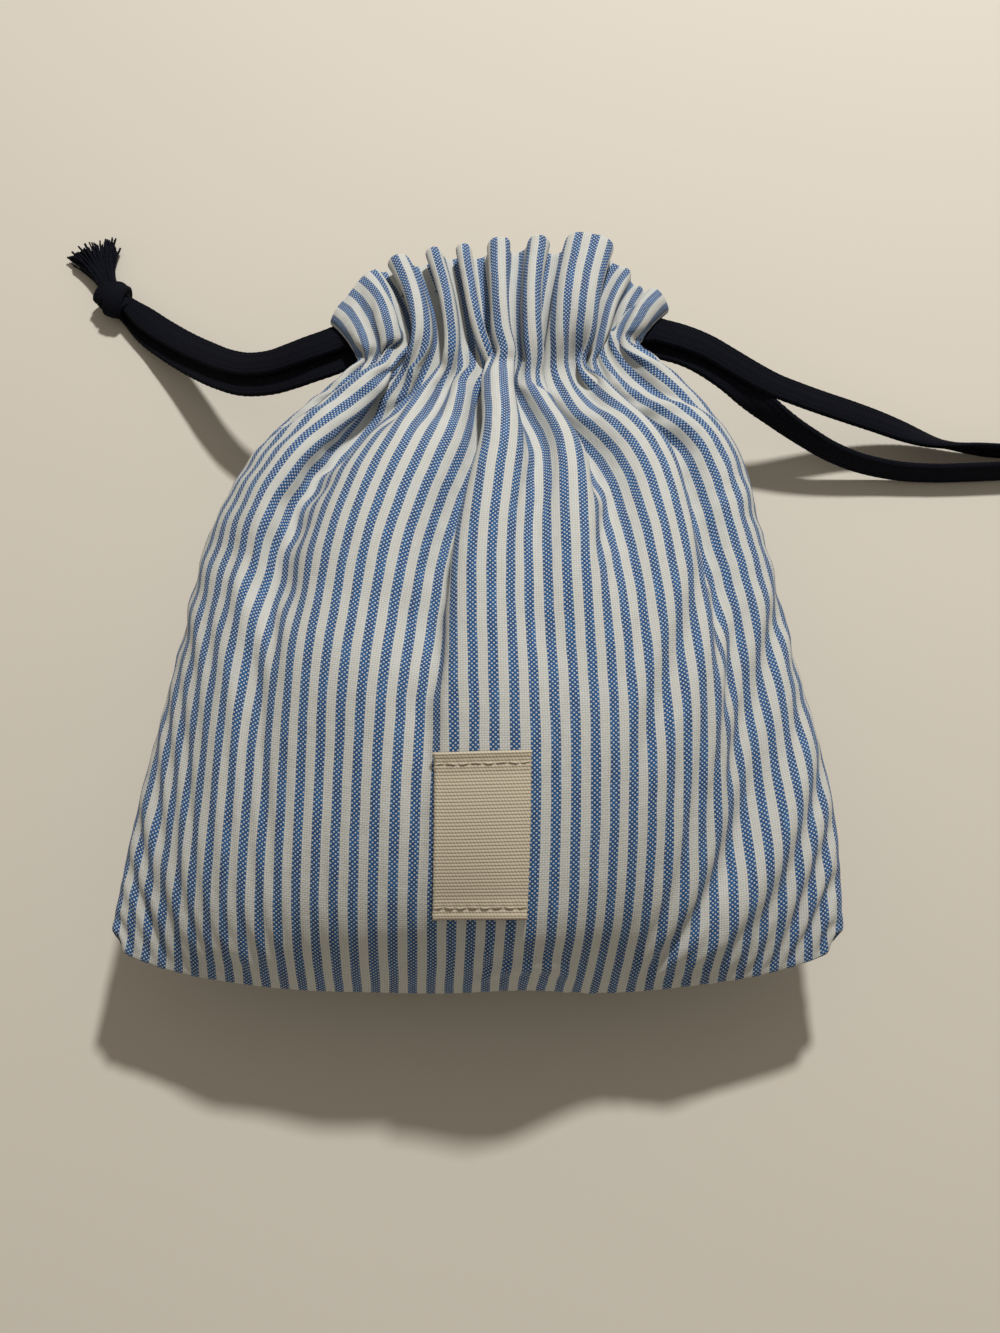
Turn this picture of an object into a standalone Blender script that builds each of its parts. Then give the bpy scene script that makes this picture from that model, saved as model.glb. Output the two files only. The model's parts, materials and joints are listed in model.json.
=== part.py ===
"""Filled cotton drawstring pouch that lies on its back, drawn shut by two flat braided cords.

Metres, +Z up. The pouch rests on z = 0 with its hem towards -Y and its gathered neck towards +Y.
The origin is the bottom centre of the cloth bag. A panel is laid out by two cloth coordinates:
"across" runs from the left seam to the right one, and "share" runs from the hem (0) to the drawn
waist (1) and on through the casing to its top edge (2).
"""

import math

import bmesh
import bpy
import numpy as np
from mathutils import Vector

COLLECTION = "drawstring_pouch"
CLEARANCE = 0.0003            # gap between pieces that touch on the real pouch

# Filled bag as it lies
PANEL_WIDTH = 0.200           # flat width of the cloth of one panel, seam to seam
BODY_LENGTH = 0.167           # hem to drawn waist
HEM_WIDTH = 0.184
BELLY_WIDTH = 0.161
FLANK_WIDTH = 0.148
SHOULDER_WIDTH = 0.127
WAIST_WIDTH = 0.078
BELLY_HEIGHT = 0.070          # top of the belly above the surface
SEAM_HEIGHT = 0.034
HEM_HEIGHT = 0.028
WAIST_HEIGHT = 0.038
WAIST_DEPTH = 0.026
HEM_LEAN = -0.006             # the hem's middle lies this far to -X of the neck's
BELLY_LEAN = -0.0035
CORNER_LIFT = 0.011           # the hem's corners lie this far towards the neck
WAIST_BOW = 0.009             # the waist's ends lie this far beyond its middle
REST_START = 0.022            # flat contact patch, from the hem
REST_END = 0.122
HEM_WAVE = 0.0035             # height of the hem's waves
HEM_WAVE_REACH = 0.030
FLAT_LIMIT = 0.0001           # waves lower than this lie flat

# Casing and mouth
CASING_LENGTH = 0.042         # waist to the middle of the top edge
MOUTH_WIDTH = 0.096
MOUTH_HEIGHT = 0.036
MOUTH_DEPTH = 0.023
MOUTH_BOW = 0.0215            # the top edge's ends lie this far short of its middle
NECK_TURN = 0.0025            # the neck's right end lies this far beyond its middle, the left short
CLOTH_EDGE = 0.0014           # doubled cloth at the top edge
MOUTH_DIP = 0.006             # depth of the closed mouth below the top edge

# Gathers
MAX_TILT = math.radians(80)   # steepest flank of a gather
SLACK = 0.04                  # share of the cloth's width that lies in fine wrinkles
TILT_GAIN = 4.0               # limit on how far the gathers deepen to take up the cloth, at the waist
CLOTH_GAP = 0.0008            # least cloth between a gather's floor and the bag's middle plane

# Each gather: place across the panel from its middle, half width, reach below the waist,
# depth weight below the waist and above it.
FRONT_GATHERS = (
    (-0.086, 0.0070, 0.060, 1.0, 0.3),
    (-0.071, 0.0065, 0.012, 0.4, 1.1),
    (-0.060, 0.0070, 0.075, 1.0, 0.0),
    (-0.047, 0.0060, 0.016, 0.5, 1.0),
    (-0.027, 0.0055, 0.016, 0.5, 0.9),
    (-0.014, 0.0070, 0.100, 1.4, 0.0),
    (-0.007, 0.0055, 0.008, 0.1, 1.0),
    (0.012, 0.0060, 0.065, 1.0, 0.9),
    (0.034, 0.0065, 0.055, 1.1, 1.1),
    (0.053, 0.0060, 0.014, 0.8, 0.2),
    (0.071, 0.0070, 0.100, 1.2, 1.0),
    (0.088, 0.0060, 0.018, 0.7, 0.2),
)
BACK_GATHERS = (
    (-0.084, 0.0065, 0.030, 0.9, 0.4),
    (-0.066, 0.0065, 0.050, 1.0, 1.0),
    (-0.044, 0.0065, 0.040, 1.0, 0.9),
    (-0.023, 0.0060, 0.050, 1.0, 1.0),
    (-0.003, 0.0065, 0.060, 1.1, 1.0),
    (0.019, 0.0060, 0.040, 0.9, 1.0),
    (0.040, 0.0065, 0.055, 1.0, 0.9),
    (0.062, 0.0065, 0.045, 1.0, 1.0),
    (0.083, 0.0065, 0.030, 0.9, 0.4),
)

# Mesh density of the bag
COLUMNS = 60
BODY_ROWS = 17
CASING_ROWS = 5
SECTION_SAMPLES = 241

# Woven label, sewn on the front above the hem
LABEL_WIDTH = 0.0226
LABEL_LENGTH = 0.039
LABEL_THICKNESS = 0.0008
LABEL_FROM_HEM = 0.028        # along the cloth
LABEL_OFFSET = -0.0005        # across the cloth
LABEL_COLUMNS = 7
LABEL_ROWS = 9
THREAD_DIAMETER = 0.0005
THREAD_MARGIN = 0.0028        # from the label's end to its seam
THREAD_INSET = 0.0012         # from the label's side to the seam's end
THREAD_POINTS = 15

# Flat braided cords
CORD_WIDTH = 0.0075
CORD_THICKNESS = 0.0026
CORD_POINT_SPACING = 0.004
KNOT_LENGTH = 0.0105
KNOT_WIDTH = 0.0115
KNOT_HEIGHT = 0.0094
TAIL_LENGTH = 0.0120
TAIL_ROOT = 0.0060            # width of the frayed tail at the knot
TAIL_END = 0.0142             # width at its loose end
TAIL_HEIGHT = 0.0055
TAIL_HOLLOW = 0.28            # depth of the ragged edge, as a share of the tail's length

# Each route point: x and y from the middle of the waist, z above the surface, and the braid's
# roll in degrees, 0 where it lies flat. A strand is cut where it meets its knot.
LEFT_UPPER_ROUTE = (
    (-0.0452, 0.0136, 0.0395, 0),
    (-0.0490, 0.0122, 0.0385, 0),
    (-0.0540, 0.0110, 0.0362, 0),
    (-0.0600, 0.0102, 0.0325, 0),
    (-0.0665, 0.0102, 0.0285, 0),
    (-0.0740, 0.0122, 0.0240, 0),
    (-0.0812, 0.0162, 0.0196, 0),
    (-0.0880, 0.0214, 0.0154, 0),
    (-0.0948, 0.0268, 0.0116, 0),
    (-0.1015, 0.0324, 0.0085, 0),
    (-0.1085, 0.0384, 0.0062, 0),
    (-0.1206, 0.0488, 0.0054, 0),
)
LEFT_LOWER_ROUTE = (
    (-0.0432, 0.0106, 0.0361, 0),
    (-0.0472, 0.0091, 0.0351, 0),
    (-0.0525, 0.0077, 0.0327, 0),
    (-0.0590, 0.0068, 0.0289, 0),
    (-0.0665, 0.0068, 0.0250, 0),
    (-0.0750, 0.0091, 0.0205, 0),
    (-0.0828, 0.0139, 0.0160, 0),
    (-0.0894, 0.0192, 0.0118, 0),
    (-0.0960, 0.0250, 0.0080, 0),
    (-0.1025, 0.0309, 0.0050, 0),
    (-0.1090, 0.0371, 0.0028, 0),
    (-0.1206, 0.0484, 0.0022, 0),
)
RIGHT_UPPER_ROUTE = (
    (0.0440, 0.0166, 0.0397, 0),
    (0.0500, 0.0151, 0.0383, 0),
    (0.0546, 0.0139, 0.0364, 0),
    (0.0595, 0.0125, 0.0340, 0),
    (0.0653, 0.0104, 0.0311, 0),
    (0.0725, 0.0079, 0.0276, 0),
    (0.0797, 0.0060, 0.0240, 0),
    (0.0876, 0.0050, 0.0202, 0),
    (0.0956, 0.0042, 0.0165, 0),
    (0.1037, 0.0034, 0.0130, 0),
    (0.1117, 0.0022, 0.0100, 5),
    (0.1196, 0.0004, 0.0075, 15),
    (0.1274, -0.0017, 0.0058, 35),
    (0.1350, -0.0033, 0.0049, 60),
    (0.1426, -0.0041, 0.0044, 78),
    (0.1501, -0.0047, 0.0042, 84),
    (0.1590, -0.0049, 0.0042, 84),
    (0.1680, -0.0048, 0.0044, 84),
    (0.1816, -0.0050, 0.0048, 84),
)
RIGHT_LOWER_ROUTE = (
    (0.0428, 0.0148, 0.0364, 0),
    (0.0490, 0.0133, 0.0350, 0),
    (0.0540, 0.0119, 0.0330, 0),
    (0.0600, 0.0096, 0.0300, 0),
    (0.0665, 0.0067, 0.0268, -8),
    (0.0727, 0.0036, 0.0233, -30),
    (0.0785, 0.0009, 0.0198, -55),
    (0.0843, -0.0018, 0.0165, -68),
    (0.0906, -0.0044, 0.0133, -74),
    (0.0976, -0.0069, 0.0100, -78),
    (0.1055, -0.0089, 0.0072, -80),
    (0.1133, -0.0101, 0.0054, -80),
    (0.1209, -0.0109, 0.0045, -80),
    (0.1299, -0.0112, 0.0042, -80),
    (0.1389, -0.0110, 0.0042, -80),
    (0.1494, -0.0105, 0.0042, -80),
    (0.1584, -0.0098, 0.0042, -80),
    (0.1675, -0.0091, 0.0044, -80),
    (0.1816, -0.0090, 0.0048, -80),
)
LEFT_KNOT = (-0.1206, 0.0488, 0.0050)
LEFT_KNOT_HEADING = 141.0     # degrees from +X, the way the cord runs into the knot
LEFT_TAIL_HEADING = 119.0
RIGHT_KNOT = (0.1816, -0.0068, 0.0050)
RIGHT_KNOT_HEADING = 0.0
RIGHT_TAIL_HEADING = -14.0

# Looks
CLOTH_COLOUR = (0.42, 0.50, 0.62)
LABEL_COLOUR = (0.80, 0.76, 0.66)
THREAD_COLOUR = (0.74, 0.70, 0.60)
CORD_COLOUR = (0.012, 0.013, 0.022)


def material(name, colour, roughness):
    """A plain Principled material."""
    new = bpy.data.materials.new(name)
    new.use_nodes = True
    shader = new.node_tree.nodes["Principled BSDF"]
    shader.inputs["Base Color"].default_value = (*colour, 1.0)
    shader.inputs["Roughness"].default_value = roughness
    shader.inputs["Metallic"].default_value = 0.0
    return new


def add_mesh(name, bm, look, collection, smooth=True):
    """Turn a bmesh into a named object with its material."""
    bmesh.ops.recalc_face_normals(bm, faces=bm.faces)
    mesh = bpy.data.meshes.new(name)
    bm.to_mesh(mesh)
    bm.free()
    if smooth:
        mesh.shade_smooth()
    mesh.materials.append(look)
    obj = bpy.data.objects.new(name, mesh)
    collection.objects.link(obj)
    return obj


def unit(vectors):
    """Each vector divided by its length."""
    return vectors / np.linalg.norm(vectors, axis=-1, keepdims=True)


def smooth_curve(points, per_span=24):
    """Many points of the Catmull-Rom curve through the given ones."""
    pts = np.array(points, dtype=float)
    ends = np.vstack([2 * pts[0] - pts[1], pts, 2 * pts[-1] - pts[-2]])
    spans = []
    for a, b, c, d in zip(ends[:-3], ends[1:-2], ends[2:-1], ends[3:]):
        t = np.linspace(0.0, 1.0, per_span, endpoint=False)[:, None]
        spans.append(0.5 * (2 * b + (c - a) * t + (2 * a - 5 * b + 4 * c - d) * t**2
                            + (3 * b - a - 3 * c + d) * t**3))
    return np.vstack([*spans, pts[-1:]])


def along(curve):
    """Distance from the curve's start to each of its points."""
    steps = np.linalg.norm(np.diff(curve[:, :3], axis=0), axis=1)
    return np.concatenate([[0.0], np.cumsum(steps)])


def resample(curve, shares):
    """Points at the given shares of the curve's length, with any further value they carry."""
    distance = along(curve)
    return np.stack([np.interp(np.array(shares) * distance[-1], distance, curve[:, axis])
                     for axis in range(curve.shape[1])], axis=1)


def seam_guide(side):
    """The left (-1) or right (1) side seam, from the hem's corner to the waist."""
    length = BODY_LENGTH
    waist_y = length + WAIST_BOW + side * NECK_TURN
    return smooth_curve([
        (HEM_LEAN + side * HEM_WIDTH / 2, CORNER_LIFT, HEM_HEIGHT),
        (BELLY_LEAN + side * (HEM_WIDTH + BELLY_WIDTH) * 0.2555, length * 0.28, SEAM_HEIGHT),
        (BELLY_LEAN + side * BELLY_WIDTH / 2, length * 0.52, SEAM_HEIGHT),
        (BELLY_LEAN + side * FLANK_WIDTH / 2, length * 0.73, SEAM_HEIGHT),
        (side * SHOULDER_WIDTH / 2, length * 0.90, SEAM_HEIGHT + 0.2 * (WAIST_HEIGHT - SEAM_HEIGHT)),
        (side * WAIST_WIDTH / 2, waist_y, WAIST_HEIGHT),
    ])


def front_guide():
    """The middle of the front panel, from the hem over the belly to the waist."""
    length = BODY_LENGTH
    rise = BELLY_HEIGHT - HEM_HEIGHT
    waist_top = WAIST_HEIGHT + WAIST_DEPTH / 2
    fall = BELLY_HEIGHT - waist_top
    return smooth_curve([
        (HEM_LEAN, 0.0, HEM_HEIGHT),
        (HEM_LEAN, length * 0.03, HEM_HEIGHT + rise * 0.29),
        (HEM_LEAN, length * 0.10, HEM_HEIGHT + rise * 0.60),
        (BELLY_LEAN, length * 0.30, HEM_HEIGHT + rise * 0.92),
        (BELLY_LEAN, length * 0.52, BELLY_HEIGHT),
        (BELLY_LEAN, length * 0.73, waist_top + fall * 0.80),
        (0.0, length * 0.88, waist_top + fall * 0.40),
        (0.0, length, waist_top),
    ])


def back_guide():
    """The middle of the back panel, from the hem along the surface to the waist."""
    length = BODY_LENGTH
    waist_floor = WAIST_HEIGHT - WAIST_DEPTH / 2
    return smooth_curve([
        (HEM_LEAN, 0.0, HEM_HEIGHT),
        (HEM_LEAN, REST_START * 0.20, HEM_HEIGHT * 0.55),
        (HEM_LEAN, REST_START * 0.55, HEM_HEIGHT * 0.17),
        (BELLY_LEAN, REST_START, 0.0),
        (BELLY_LEAN, (REST_START + REST_END) / 2, -0.0010),
        (BELLY_LEAN, REST_END, 0.0),
        (0.0, REST_END + (length - REST_END) * 0.45, waist_floor * 0.38),
        (0.0, length, waist_floor),
    ])


def casing_guide(side, level):
    """A line of the casing, from the waist to the top edge: side -1, 0 or 1, level -1, 0 or 1."""
    waist_y = BODY_LENGTH + WAIST_BOW * abs(side) + NECK_TURN * side
    mouth_y = BODY_LENGTH + CASING_LENGTH - MOUTH_BOW * abs(side) + NECK_TURN * side
    waist_z = WAIST_HEIGHT + level * WAIST_DEPTH / 2
    mouth_z = MOUTH_HEIGHT + level * MOUTH_DEPTH / 2
    middle_z = (waist_z + mouth_z) / 2 + level * 0.08 * MOUTH_DEPTH
    return smooth_curve([
        (side * WAIST_WIDTH / 2, waist_y, waist_z),
        (side * (WAIST_WIDTH * 0.6 + MOUTH_WIDTH * 0.4) / 2, (waist_y + mouth_y) / 2, middle_z),
        (side * MOUTH_WIDTH / 2, mouth_y, mouth_z),
    ])


def section(left, right, crown, fullness, squareness, sweep_power):
    """Cross-section from the left seam over the crown to the right seam, and its bulge."""
    place = np.sin(np.linspace(-math.pi / 2, math.pi / 2, SECTION_SAMPLES))
    bulge = np.clip(1.0 - np.abs(place) ** squareness, 0.0, 1.0) ** fullness
    sweep = 1.0 - np.abs(place) ** sweep_power
    middle = (left + right) / 2
    chord = left + (right - left) * (place[:, None] + 1) / 2
    weights = np.stack([sweep, sweep, bulge], axis=1)
    curve = chord + weights * (crown - middle)
    curve[:, 2] = np.maximum(curve[:, 2], 0.0)
    return curve, np.abs(curve[:, 2] - chord[:, 2])


def gather_pattern(across, share, gathers):
    """How strongly the cloth tilts at each place across the panel, before it is scaled."""
    total = np.zeros_like(across)
    for place, width, reach, below, above in gathers:
        if share <= 1.0:
            fade = math.exp(-((1.0 - share) * BODY_LENGTH / reach) ** 2)
            weight = below * fade
        else:
            rise = min((share - 1.0) / 0.35, 1.0)
            weight = below + (above - below) * rise
        offset = (across - place) / width
        total += weight * 2.33 * offset * np.exp(-offset**2)
    return total


def fold_row(across, pattern, length, limit):
    """Tilts that shorten the cloth to the given length: distance along it, and height."""
    cloth = PANEL_WIDTH * (1.0 - SLACK)
    step = cloth / (len(across) - 1)
    low, high = 0.0, limit
    for _ in range(40):
        gain = (low + high) / 2
        tilt = MAX_TILT * np.tanh(gain * pattern / MAX_TILT)
        if np.mean(np.cos(tilt)) * cloth > length:
            low = gain
        else:
            high = gain
    middle = (tilt[1:] + tilt[:-1]) / 2
    distance = np.concatenate([[0.0], np.cumsum(np.cos(middle))])
    height = np.concatenate([[0.0], np.cumsum(np.sin(middle))]) * step
    height -= np.linspace(0.0, height[-1], len(height))
    return distance / distance[-1], height


def hem_wave(across, share, reach):
    """Height of the soft waves that run along the hem and fade above it."""
    fade = math.exp(-(share * BODY_LENGTH / reach) ** 2)
    turn = across / PANEL_WIDTH * 2 * math.pi
    wave = 0.6 * np.sin(3.1 * turn + 0.8) + 0.5 * np.sin(4.7 * turn - 0.6)
    height = HEM_WAVE * fade * wave * np.cos(across / PANEL_WIDTH * math.pi)
    return np.where(np.abs(height) < FLAT_LIMIT, 0.0, height)


def panel(side, columns, shares):
    """Grid of points of the front (1) or back (-1) panel, one row for each share."""
    gathers = FRONT_GATHERS if side > 0 else BACK_GATHERS
    squareness = 2.0 if side > 0 else 2.5
    reach = HEM_WAVE_REACH if side > 0 else HEM_WAVE_REACH / 2
    across = np.linspace(-PANEL_WIDTH / 2, PANEL_WIDTH / 2, columns + 1)
    middle_guide = front_guide() if side > 0 else back_guide()
    body = [share for share in shares if share <= 1.0]
    casing = [share - 1.0 for share in shares if share > 1.0]
    lines = []
    for low, high in ((seam_guide(-1), casing_guide(-1, 0)), (seam_guide(1), casing_guide(1, 0)),
                      (middle_guide, casing_guide(0, side))):
        parts = [resample(low, body)]
        if casing:
            parts.append(resample(high, casing))
        lines.append(np.vstack(parts))
    base, depth, heights = [], [], []
    for share, left, right, crown in zip(shares, *lines):
        fullness = 0.50 + 0.28 * max(0.0, 1.0 - share / 0.45) ** 1.5
        sweep_power = 2.0 + 1.6 * max(0.0, 1.0 - share / 0.3) + 1.2 * max(0.0, share - 1.0)
        curve, bulge = section(left, right, crown, fullness, squareness, sweep_power)
        distance = along(curve)
        limit = TILT_GAIN * min(share, 1.0) ** 2
        pattern = gather_pattern(across, share, gathers)
        place, height = fold_row(across, pattern, distance[-1], limit)
        row = resample(curve, place)
        row[:, 2] += hem_wave(across, share, reach)
        base.append(row)
        depth.append(np.interp(place * distance[-1], distance, bulge))
        heights.append(height)
    base, depth, heights = np.array(base), np.array(depth), np.array(heights)
    room = np.maximum(depth - CLOTH_GAP, 1e-6)
    dip = room * np.tanh(heights / room)
    normals = unit(np.cross(np.gradient(base, axis=1), np.gradient(base, axis=0))) * side
    points = base + normals * dip[:, :, None]
    points[:, 0] = base[:, 0]
    points[:, :, 2] = np.where(base[:, :, 2] <= 0.0, 0.0, np.maximum(points[:, :, 2], 0.0))
    return points


def row_shares():
    """Rows that crowd towards the hem and the waist, then even rows up the casing."""
    t = np.linspace(0.0, 1.0, BODY_ROWS + 1)
    body = t - 0.55 * np.sin(2 * math.pi * t) / (2 * math.pi)
    return [*body, *(1.0 + np.linspace(0.0, 1.0, CASING_ROWS + 1)[1:])]


def bag_grids():
    """Front and back panel grids, moved so that the bag's bottom centre is the origin, and the
    middle of the waist on the surface below it."""
    shares = row_shares()
    front = panel(1, COLUMNS, shares)
    back = panel(-1, COLUMNS, shares)
    back[0] = front[0]
    back[:, 0] = front[:, 0]
    back[:, -1] = front[:, -1]
    everything = np.concatenate([front, back])
    low = everything.min(axis=(0, 1))
    high = everything.max(axis=(0, 1))
    shift = np.array([(low[0] + high[0]) / 2, (low[1] + high[1]) / 2, low[2]])
    neck = np.array([0.0, BODY_LENGTH, 0.0]) - shift
    return front - shift, back - shift, neck


def ring(front_row, back_row):
    """One closed ring of points: along the front row and back along the back row."""
    return np.vstack([front_row, back_row[-2:0:-1]])


def inset_ring(points, distance):
    """The ring drawn in towards its own inside, flat in X and Z."""
    tangent = np.roll(points, -1, axis=0) - np.roll(points, 1, axis=0)
    inward = unit(np.stack([tangent[:, 2], np.zeros(len(points)), -tangent[:, 0]], axis=1))
    return points + inward * distance


def make_bag(front, back, look, collection):
    """The closed cloth bag with its gathered casing and shallow mouth."""
    bm = bmesh.new()
    hem = [bm.verts.new(point) for point in front[0]]
    rings = []
    for front_row, back_row in zip(front[1:], back[1:]):
        rings.append([bm.verts.new(point) for point in ring(front_row, back_row)])
    top = ring(front[-1], back[-1])
    below = ring(front[-2], back[-2])
    lip = inset_ring(top, CLOTH_EDGE)
    depth = MOUTH_DIP / (CASING_LENGTH / CASING_ROWS)
    floor = inset_ring(top + (below - top) * depth, CLOTH_EDGE)
    rings.append([bm.verts.new(point) for point in lip])
    rings.append([bm.verts.new(point) for point in floor])
    size = len(rings[0])
    hem_ring = hem + hem[-2:0:-1]
    for lower, upper in zip([hem_ring, *rings], rings):
        for i in range(size):
            j = (i + 1) % size
            corners = [lower[i], lower[j], upper[j], upper[i]]
            bm.faces.new(list(dict.fromkeys(corners)))
    last = rings[-1]
    for i in range(COLUMNS):
        corners = [last[i], last[i + 1], last[(size - i - 1) % size], last[(size - i) % size]]
        bm.faces.new(list(dict.fromkeys(corners)))
    bmesh.ops.triangulate(bm, faces=bm.faces)
    resting = [face for face in bm.faces if max(vert.co.z for vert in face.verts) < FLAT_LIMIT]
    bmesh.ops.dissolve_faces(bm, faces=resting)
    return add_mesh("pouch_body", bm, look, collection)


def cloth_point(grid, across, from_hem):
    """Point and outward normal of the front panel at a place across it and above the hem."""
    shares = np.array(row_shares())
    share = from_hem / along(front_guide())[-1]
    row = np.interp(share, shares, np.arange(len(shares)))
    column = (across / PANEL_WIDTH + 0.5) * COLUMNS
    r, c = min(int(row), len(shares) - 2), min(int(column), COLUMNS - 1)
    fr, fc = row - r, column - c
    low = grid[r, c] * (1 - fc) + grid[r, c + 1] * fc
    high = grid[r + 1, c] * (1 - fc) + grid[r + 1, c + 1] * fc
    tangent = (grid[r, c + 1] - grid[r, c]) * (1 - fr) + (grid[r + 1, c + 1] - grid[r + 1, c]) * fr
    return low * (1 - fr) + high * fr, unit(np.cross(tangent, high - low))


def label_point(grid, across, up, height):
    """A point over the label's place: across and up from its lower middle, and above the cloth."""
    point, normal = cloth_point(grid, LABEL_OFFSET + across, LABEL_FROM_HEM + up)
    return point + normal * height


def make_label(grid, look, collection):
    """The woven tape, a thin plate that follows the front panel."""
    bm = bmesh.new()
    sheets = []
    for height in (CLEARANCE, CLEARANCE + LABEL_THICKNESS):
        rows = []
        for up in np.linspace(0.0, LABEL_LENGTH, LABEL_ROWS + 1):
            places = np.linspace(-LABEL_WIDTH / 2, LABEL_WIDTH / 2, LABEL_COLUMNS + 1)
            rows.append([bm.verts.new(label_point(grid, across, up, height)) for across in places])
        sheets.append(rows)
    for rows in sheets:
        for i in range(LABEL_ROWS):
            for j in range(LABEL_COLUMNS):
                bm.faces.new((rows[i][j], rows[i][j + 1], rows[i + 1][j + 1], rows[i + 1][j]))
    rims = [rows[0] + [row[-1] for row in rows[1:]] + rows[-1][-2::-1]
            + [row[0] for row in rows[-2:0:-1]] for rows in sheets]
    for i in range(len(rims[0])):
        j = (i + 1) % len(rims[0])
        bm.faces.new((rims[0][i], rims[0][j], rims[1][j], rims[1][i]))
    return add_mesh("label", bm, look, collection, smooth=False)


def make_tube(name, points, look, collection, diameter=None, profile=None):
    """A curve through the points with filled ends: round, or with the profile's section."""
    data = bpy.data.curves.new(name, "CURVE")
    data.dimensions = "3D"
    data.twist_mode = "Z_UP"
    data.use_fill_caps = True
    if profile is None:
        data.bevel_depth = diameter / 2
        data.bevel_resolution = 2
    else:
        data.bevel_mode = "OBJECT"
        data.bevel_object = profile
    spline = data.splines.new("POLY")
    spline.points.add(len(points) - 1)
    for knot, point in zip(spline.points, points):
        knot.co = (*point[:3], 1.0)
        if profile is not None:
            knot.tilt = math.radians(point[3])
    data.materials.append(look)
    obj = bpy.data.objects.new(name, data)
    collection.objects.link(obj)
    return obj


def make_label_seam(name, grid, up, look, collection):
    """The thread that holds one end of the label, lying on the tape."""
    reach = LABEL_WIDTH / 2 - THREAD_INSET
    lift = CLEARANCE * 2 + LABEL_THICKNESS + THREAD_DIAMETER / 2
    points = [label_point(grid, across, up, lift)
              for across in np.linspace(-reach, reach, THREAD_POINTS)]
    return make_tube(name, points, look, collection, diameter=THREAD_DIAMETER)


def cord_profile(collection):
    """The flat braid's section: a slot shape with round sides."""
    data = bpy.data.curves.new("cord_profile", "CURVE")
    data.dimensions = "2D"
    spline = data.splines.new("POLY")
    radius = CORD_THICKNESS / 2
    reach = CORD_WIDTH / 2 - radius
    corners = []
    for side, start in ((1, -90), (-1, 90)):
        for turn in (0, 60, 120, 180):
            angle = math.radians(start + turn)
            corners.append((side * reach + radius * math.cos(angle), radius * math.sin(angle)))
    spline.points.add(len(corners) - 1)
    for point, (x, y) in zip(spline.points, reversed(corners)):
        point.co = (x, y, 0.0, 1.0)
    spline.use_cyclic_u = True
    obj = bpy.data.objects.new("cord_profile", data)
    obj.hide_render = True
    obj.display_type = "WIRE"
    collection.objects.link(obj)
    return obj


def make_strand(name, route, neck, profile, look, collection):
    """One strand of a cord along its route, cut where it meets the knot at the route's end."""
    curve = smooth_curve(route)
    from_knot = np.linalg.norm(curve[:, :2] - curve[-1, :2], axis=1)
    curve = curve[from_knot >= KNOT_LENGTH / 2 + CLEARANCE]
    curve[:, :3] += neck
    count = round(along(curve)[-1] / CORD_POINT_SPACING)
    points = resample(curve, np.linspace(0.0, 1.0, count + 1))
    return make_tube(name, points, look, collection, profile=profile)


def make_knot(name, place, neck, heading, look, collection):
    """An overhand knot as a lump with two slanting wraps, its length along the heading."""
    bm = bmesh.new()
    bmesh.ops.create_uvsphere(bm, u_segments=24, v_segments=14, radius=0.5)
    for vert in bm.verts:
        x, y, z = vert.co
        wrap = 1.0 - 0.10 * (1.0 + math.cos(12.0 * (x + 0.35 * y))) / 2
        vert.co = (x * KNOT_LENGTH, y * KNOT_WIDTH * wrap, z * KNOT_HEIGHT * wrap)
    obj = add_mesh(name, bm, look, collection)
    obj.location = Vector(place) + Vector(neck)
    obj.rotation_euler = (0.0, 0.0, math.radians(heading))
    return obj


def make_tail(name, knot_place, neck, knot_heading, heading, look, collection):
    """The frayed end beyond a knot: a flat brush that widens to a ragged edge."""
    sides, steps = 18, 5
    bm = bmesh.new()
    rings = []
    for step in range(steps + 1):
        share = step / steps
        half_width = (TAIL_ROOT + (TAIL_END - TAIL_ROOT) * share**1.3) / 2
        half_height = TAIL_HEIGHT / 2 * (1.0 - 0.25 * share)
        rows = []
        for side in range(sides):
            angle = 2 * math.pi * side / sides
            ragged = TAIL_HOLLOW / 2 * share**4 * (math.sin(5 * angle + 1.0) - 1.0)
            rows.append(bm.verts.new((TAIL_LENGTH * (share + ragged),
                                      half_width * math.cos(angle),
                                      half_height * math.sin(angle))))
        rings.append(rows)
    for lower, upper in zip(rings, rings[1:]):
        for i in range(sides):
            j = (i + 1) % sides
            bm.faces.new((lower[i], lower[j], upper[j], upper[i]))
    bm.faces.new(rings[0][::-1])
    hollow = bm.verts.new((TAIL_LENGTH * (1.0 - TAIL_HOLLOW), 0.0, 0.0))
    for i in range(sides):
        bm.faces.new((rings[-1][i], rings[-1][(i + 1) % sides], hollow))
    obj = add_mesh(name, bm, look, collection, smooth=False)
    turn = math.radians(heading - knot_heading)
    radius = 1.0 / math.hypot(math.cos(turn) / KNOT_LENGTH, math.sin(turn) / KNOT_WIDTH) / 2
    direction = Vector((math.cos(math.radians(heading)), math.sin(math.radians(heading)), 0.0))
    start = Vector(knot_place) + Vector(neck) + direction * (radius + CLEARANCE)
    obj.location = (start.x, start.y, TAIL_HEIGHT / 2)
    obj.rotation_euler = (0.0, 0.0, math.radians(heading))
    return obj


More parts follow.
